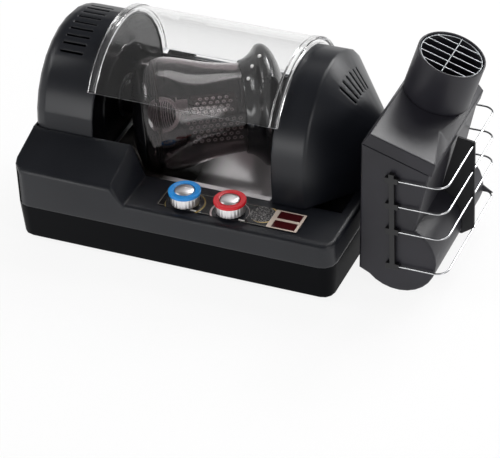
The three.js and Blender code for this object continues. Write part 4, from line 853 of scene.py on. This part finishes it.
own(strainer, "inlet_strainer")
print("strainer ribs", len(ribs))

# %% [markdown]
# ## The clear cover
# The cover is one curved sheet with a thick rim at each end that reaches in over the housings. It is
# made from its own section, spun through part of a turn about the drum's line, with both cut edges
# closed. The rims are what the eye reads first: they gather light into thin bright lines. The two
# cut edges are the faces with many corners, and they get the pale look of sawn plastic.

# %% Cover
COVER_FRONT = math.radians(148)
COVER_SWEEP = math.radians(146)
cover_section = [
    (97.6, 67.9), (98.0, 67.5), (104.2, 67.5), (105.0, 68.3), (105.0, 75.2), (104.2, 76.0), (104.0, 76.4),
    (104.0, 285.1), (104.2, 285.5), (105.0, 286.3), (105.0, 293.2), (104.2, 294.0), (98.0, 294.0),
    (97.6, 293.6), (97.6, 285.9), (98.0, 285.5), (101.1, 285.5), (101.5, 285.1), (101.5, 76.4),
    (101.1, 76.0), (98.0, 76.0), (97.6, 75.6),
]
work = bmesh.new()
ring = [
    work.verts.new((along, radius * math.cos(COVER_FRONT), radius * math.sin(COVER_FRONT)))
    for radius, along in held(cover_section)
]
first = work.faces.new(ring)
bmesh.ops.spin(
    work,
    geom=[first],
    cent=(0, 0, 0),
    axis=(1, 0, 0),
    angle=-COVER_SWEEP,
    steps=72,
    use_duplicate=False,
)
bmesh.ops.recalc_face_normals(work, faces=work.faces)
bmesh.ops.transform(
    work, matrix=Matrix.Translation(place(0, AXIS_Y, AXIS_Z)) @ Matrix.Scale(MM, 4), verts=work.verts
)
cut_edge = moulded_plastic("Cut polycarbonate edge", "#e4e4e8", "#ededf0", 0.5)
for face in work.faces:
    face.material_index = int(len(face.verts) > 8)
cover_mesh = bpy.data.meshes.new("cover_sheet")
work.to_mesh(cover_mesh)
work.free()
cover = finish_mesh("cover_sheet", cover_mesh, clear_polycarbonate, cut_edge)
own(cover, "clear_cover")
print("cover faces", len(cover_mesh.polygons), [round(v, 3) for v in cover.dimensions])

# %% [markdown]
# ## Dials
# Each dial is a silver-plated body with fine flutes and a low dome, under a coloured ring. The flutes
# are a wave round the body: they break its shine into upright bright and dark lines.

# %% Dials
DIAL_Y = 26.5
body_section = [
    (3.3, 78.5), (15.6, 78.5), (16.2, 79.1), (16.2, 80.0), (16.0, 89.6), (15.4, 90.2), (11.3, 90.2),
    (11.2, 90.6), (11.2, 93.4), (10.9, 94.2), (10.0, 94.8), (7.5, 95.5), (4.0, 95.9), (0.0, 96.0),
    (0.0, 90.6), (3.3, 90.5),
]
dial_ring_section = [
    (11.5, 90.9), (11.9, 90.5), (17.6, 90.5), (18.0, 90.9), (18.3, 93.4), (18.1, 94.1), (17.5, 94.5),
    (12.4, 94.5), (11.7, 94.2), (11.5, 93.6),
]
for node, dial_x, tint in (("time", 200.0, blue_abs), ("temperature", 254.0, red_abs)):
    dial_matrix = Matrix.Translation(place(dial_x, DIAL_Y, 0)) @ Matrix.Scale(MM, 4)
    body = turned(f"{node}_dial_body", body_section, dial_matrix, silver_plate, 192, angle=40.0, flutes=24)
    ring = turned(f"{node}_dial_ring", dial_ring_section, dial_matrix, tint, 96)
    own(body, f"{node}_knob")
    own(ring, f"{node}_knob_ring")
print("dial body", [round(v, 4) for v in body.dimensions])

# %% [markdown]
# ## Pipe, grille and guard wires
# The exhaust pipe stands square to the tilted lid. Its mouth holds a grille of thin zinc-plated rods.
# The guard wires are bent rod: straight runs with a 14 mm bend at each corner.

# %% Pipe
LID_TILT = math.radians(18.2)
LID_EDGE_X, LID_EDGE_Z = 409.4, 198.4
PIPE_REACH, PIPE_Y = 36.0, 164.5
pipe_x = LID_EDGE_X + PIPE_REACH * math.cos(LID_TILT)
pipe_z = LID_EDGE_Z - PIPE_REACH * math.sin(LID_TILT)
pipe_matrix = (
    Matrix.Translation(place(pipe_x, PIPE_Y, pipe_z))
    @ Matrix.Rotation(LID_TILT, 4, "Y")
    @ Matrix.Scale(MM, 4)
)
pipe = turned(
    "exhaust_tube",
    [
        (38.0, 0.3), (38.0, 54.3), (37.5, 55.0), (36.6, 55.0), (35.9, 54.3),
        (35.5, 49.0), (34.5, 49.0), (34.5, 0.3),
    ],
    pipe_matrix,
    collector_abs,
)
own(pipe, "exhaust_pipe")
print("pipe", [round(v, 3) for v in pipe.dimensions])

# %% Guard wires
GUARD_RADIUS = 1.1
GUARD_HEIGHTS = (35.5, 81.4, 114.2, 147.2)


def guard_line(height):
    front, back, outer, bend, start = 46.0, 215.0, 494.6, 14.0, 438.5
    spots = [(start, front)]
    for centre_y, first in ((front + bend, -90.0), (back - bend, 0.0)):
        for step in range(13):
            turn = math.radians(first + step * 7.5)
            spots.append((outer - bend + bend * math.cos(turn), centre_y + bend * math.sin(turn)))
    spots.append((start, back))
    return [place(x, y, height) for x, y in spots]


for number, height in enumerate(GUARD_HEIGHTS, 1):
    rod = wire(f"guard_rod_{number}", [guard_line(height)], GUARD_RADIUS, chrome)
    own(rod, f"guard_wire_{number}")
print("guard wires", len(GUARD_HEIGHTS))

# %% Grille
GRILLE_RADIUS = 34.3
GRILLE_HEIGHT = 52.6
BAR_PITCH = 11.73
turns = [2 * math.pi * i / 72 for i in range(72)]
ring = [
    pipe_matrix @ Vector((GRILLE_RADIUS * math.cos(turn), GRILLE_RADIUS * math.sin(turn), GRILLE_HEIGHT))
    for turn in turns
]
bars = []
for i in range(5):
    offset = (i - 2) * BAR_PITCH
    reach = math.sqrt(GRILLE_RADIUS**2 - offset**2)
    bars.append([pipe_matrix @ Vector((side * reach, offset, GRILLE_HEIGHT)) for side in (-1, 1)])
bars.append([pipe_matrix @ Vector((0, side * GRILLE_RADIUS, GRILLE_HEIGHT + 1.0)) for side in (-1, 1)])
grille = joined(
    "mouth_grille",
    wire("grille_bars", bars, 0.7, zinc),
    wire("grille_ring", [ring], 0.7, zinc, cyclic=True),
)
own(grille, "pipe_grille")
print("grille bars", len(bars))

# %% [markdown]
# ## Camera
# The photograph was taken with a long lens from the front right, well above the machine, and the
# picture leans a little. The place and lens below give its framing: the lens follows from how many
# pixels away the picture's plane lies, and how many it is wide.

# %% Camera
EYE = Vector((1205.38, -2016.68, 1658.46))
AZIMUTH = math.radians(24.454)
ELEVATION = math.radians(35.466)
LEAN = math.radians(-2.954)
SENSOR = 36.0
FOCAL_PIXELS = 2522.78
PICTURE_WIDTH = 500
LENS = SENSOR * FOCAL_PIXELS / PICTURE_WIDTH

forward = Vector((
    -math.sin(AZIMUTH) * math.cos(ELEVATION),
    math.cos(AZIMUTH) * math.cos(ELEVATION),
    -math.sin(ELEVATION),
))
level = Vector((math.cos(AZIMUTH), math.sin(AZIMUTH), 0.0))
upright = level.cross(forward)
right = level * math.cos(LEAN) + upright * math.sin(LEAN)
up = upright * math.cos(LEAN) - level * math.sin(LEAN)
lens = bpy.data.cameras.new("Camera")
lens.lens = LENS
lens.sensor_width = SENSOR
lens.clip_end = 20.0
camera = bpy.data.objects.new("Camera", lens)
bpy.context.scene.collection.objects.link(camera)
camera.matrix_world = Matrix.Translation(place(*EYE)) @ Matrix((right, up, -forward)).transposed().to_4x4()
bpy.context.scene.camera = camera
print("lens", round(LENS, 1), "mm, right", [round(v, 3) for v in right])

# %% [markdown]
# ## Studio
# The machine stands on a white sweep. The floor looks almost white to the camera, to mirrors and
# through glass, but some real white paint is mixed in, so that it keeps a soft shadow.

# %% Floor
PAPER_GLOW = 0.88


def white_paper_share(tree):
    path = add_node(tree, "ShaderNodeLightPath")
    share = path.outputs["Is Camera Ray"]
    for kind in ("Is Transmission Ray", "Is Glossy Ray"):
        larger = add_node(tree, "ShaderNodeMath", {0: share, 1: path.outputs[kind]}, operation="MAXIMUM")
        share = larger.outputs[0]
    return share


floor_mesh = bpy.data.meshes.new("Floor")
work = bmesh.new()
bmesh.ops.create_grid(work, x_segments=1, y_segments=1, size=4.0)
work.to_mesh(floor_mesh)
work.free()
floor = bpy.data.objects.new("Floor", floor_mesh)
bpy.context.scene.collection.objects.link(floor)
paper, tree, shader, points = start_material("White paper sweep", "#f4f4f4", 0.9)
glow = add_node(tree, "ShaderNodeEmission", {"Color": (1, 1, 1, 1), "Strength": 1.0})
share = add_node(tree, "ShaderNodeMath", {0: white_paper_share(tree), 1: PAPER_GLOW}, operation="MULTIPLY")
blend = add_node(
    tree, "ShaderNodeMixShader", {0: share.outputs[0], 1: shader.outputs[0], 2: glow.outputs[0]}
)
tree.links.new(blend.outputs[0], tree.nodes["Material Output"].inputs["Surface"])
floor_mesh.materials.append(paper)
print("floor", [round(v, 1) for v in floor.dimensions])

# %% [markdown]
# The world is white to the camera and a little greyer through clear walls. It lights the object at
# less than half of that strength, and in mirrors it is bright near the horizon and dark overhead.

# %% World
world = bpy.data.worlds.new("White room")
world.use_nodes = True
bpy.context.scene.world = world
tree = world.node_tree
room = tree.nodes["Background"]
rays = add_node(tree, "ShaderNodeLightPath").outputs
heading = add_node(
    tree, "ShaderNodeSeparateXYZ", {"Vector": add_node(tree, "ShaderNodeTexCoord").outputs["Generated"]}
)
horizon = add_node(
    tree,
    "ShaderNodeMapRange",
    {"Value": heading.outputs["Z"], "From Min": 0.05, "From Max": 0.4, "To Min": 0.9, "To Max": 0.12},
    interpolation_type="SMOOTHSTEP",
)
in_mirrors = add_node(
    tree,
    "ShaderNodeMapRange",
    {"Value": rays["Is Glossy Ray"], "To Min": 0.4, "To Max": horizon.outputs["Result"]},
)
through_clear = add_node(
    tree,
    "ShaderNodeMapRange",
    {"Value": rays["Is Transmission Ray"], "To Min": in_mirrors.outputs["Result"], "To Max": 0.75},
)
to_camera = add_node(
    tree,
    "ShaderNodeMapRange",
    {"Value": rays["Is Camera Ray"], "To Min": through_clear.outputs["Result"], "To Max": 1.0},
)
room.inputs["Color"].default_value = (1, 1, 1, 1)
tree.links.new(to_camera.outputs["Result"], room.inputs["Strength"])
print("world", world.name)

# %% [markdown]
# Six softboxes give the highlights. Each fades towards its own rim, so that its mirror image in the
# glass and the plastic has no hard edge. The fading takes light away, and the boost gives it back.

# %% Softboxes
RIM_BOOST = 1.8


def softbox(name, spot, target, size, power):
    lamp = bpy.data.lights.new(name, "AREA")
    lamp.shape = "RECTANGLE"
    lamp.size, lamp.size_y = size
    lamp.energy = power * RIM_BOOST
    lamp.use_nodes = True
    tree = lamp.node_tree
    across = add_node(tree, "ShaderNodeNewGeometry").outputs["Parametric"]
    centred = add_node(
        tree, "ShaderNodeVectorMath", {0: across, 1: (0.5, 0.5, 0.0)}, operation="SUBTRACT"
    ).outputs["Vector"]
    away = add_node(tree, "ShaderNodeVectorMath", {0: centred}, operation="ABSOLUTE").outputs["Vector"]
    sides = add_node(tree, "ShaderNodeSeparateXYZ", {"Vector": away})
    fades = [
        add_node(
            tree,
            "ShaderNodeMapRange",
            {"Value": sides.outputs[axis], "From Min": 0.5, "From Max": 0.25},
            interpolation_type="SMOOTHSTEP",
        ).outputs["Result"]
        for axis in ("X", "Y")
    ]
    both = add_node(tree, "ShaderNodeMath", {0: fades[0], 1: fades[1]}, operation="MULTIPLY")
    tree.links.new(both.outputs[0], tree.nodes["Emission"].inputs["Strength"])
    box = bpy.data.objects.new(name, lamp)
    bpy.context.scene.collection.objects.link(box)
    aim = Vector(target) - Vector(spot)
    box.matrix_world = Matrix.Translation(spot) @ aim.to_track_quat("-Z", "Y").to_matrix().to_4x4()


softbox("Key softbox", (-2.1, -0.7, 1.7), (0, 0, 0.1), (1.2, 1.0), 13.5)
softbox("Top softbox", (0.3, 1.25, 2.1), (0, 0, 0.1), (2.2, 0.9), 14)
softbox("Rear softbox", (0.65, 1.9, 1.7), (0.15, 0, 0.15), (1.3, 0.9), 34)
softbox("Low softbox", (-0.75, -2.1, 0.5), (0, 0, 0.1), (1.6, 0.5), 8)
softbox("Fill softbox", (2.0, -1.0, 1.1), (0, 0, 0.1), (1.2, 1.4), 9.5)
softbox("Right rear softbox", (1.5, 2.0, 0.95), (0, 0, 0.1), (0.8, 0.6), 12)
bpy.context.scene.view_settings.view_transform = "Standard"
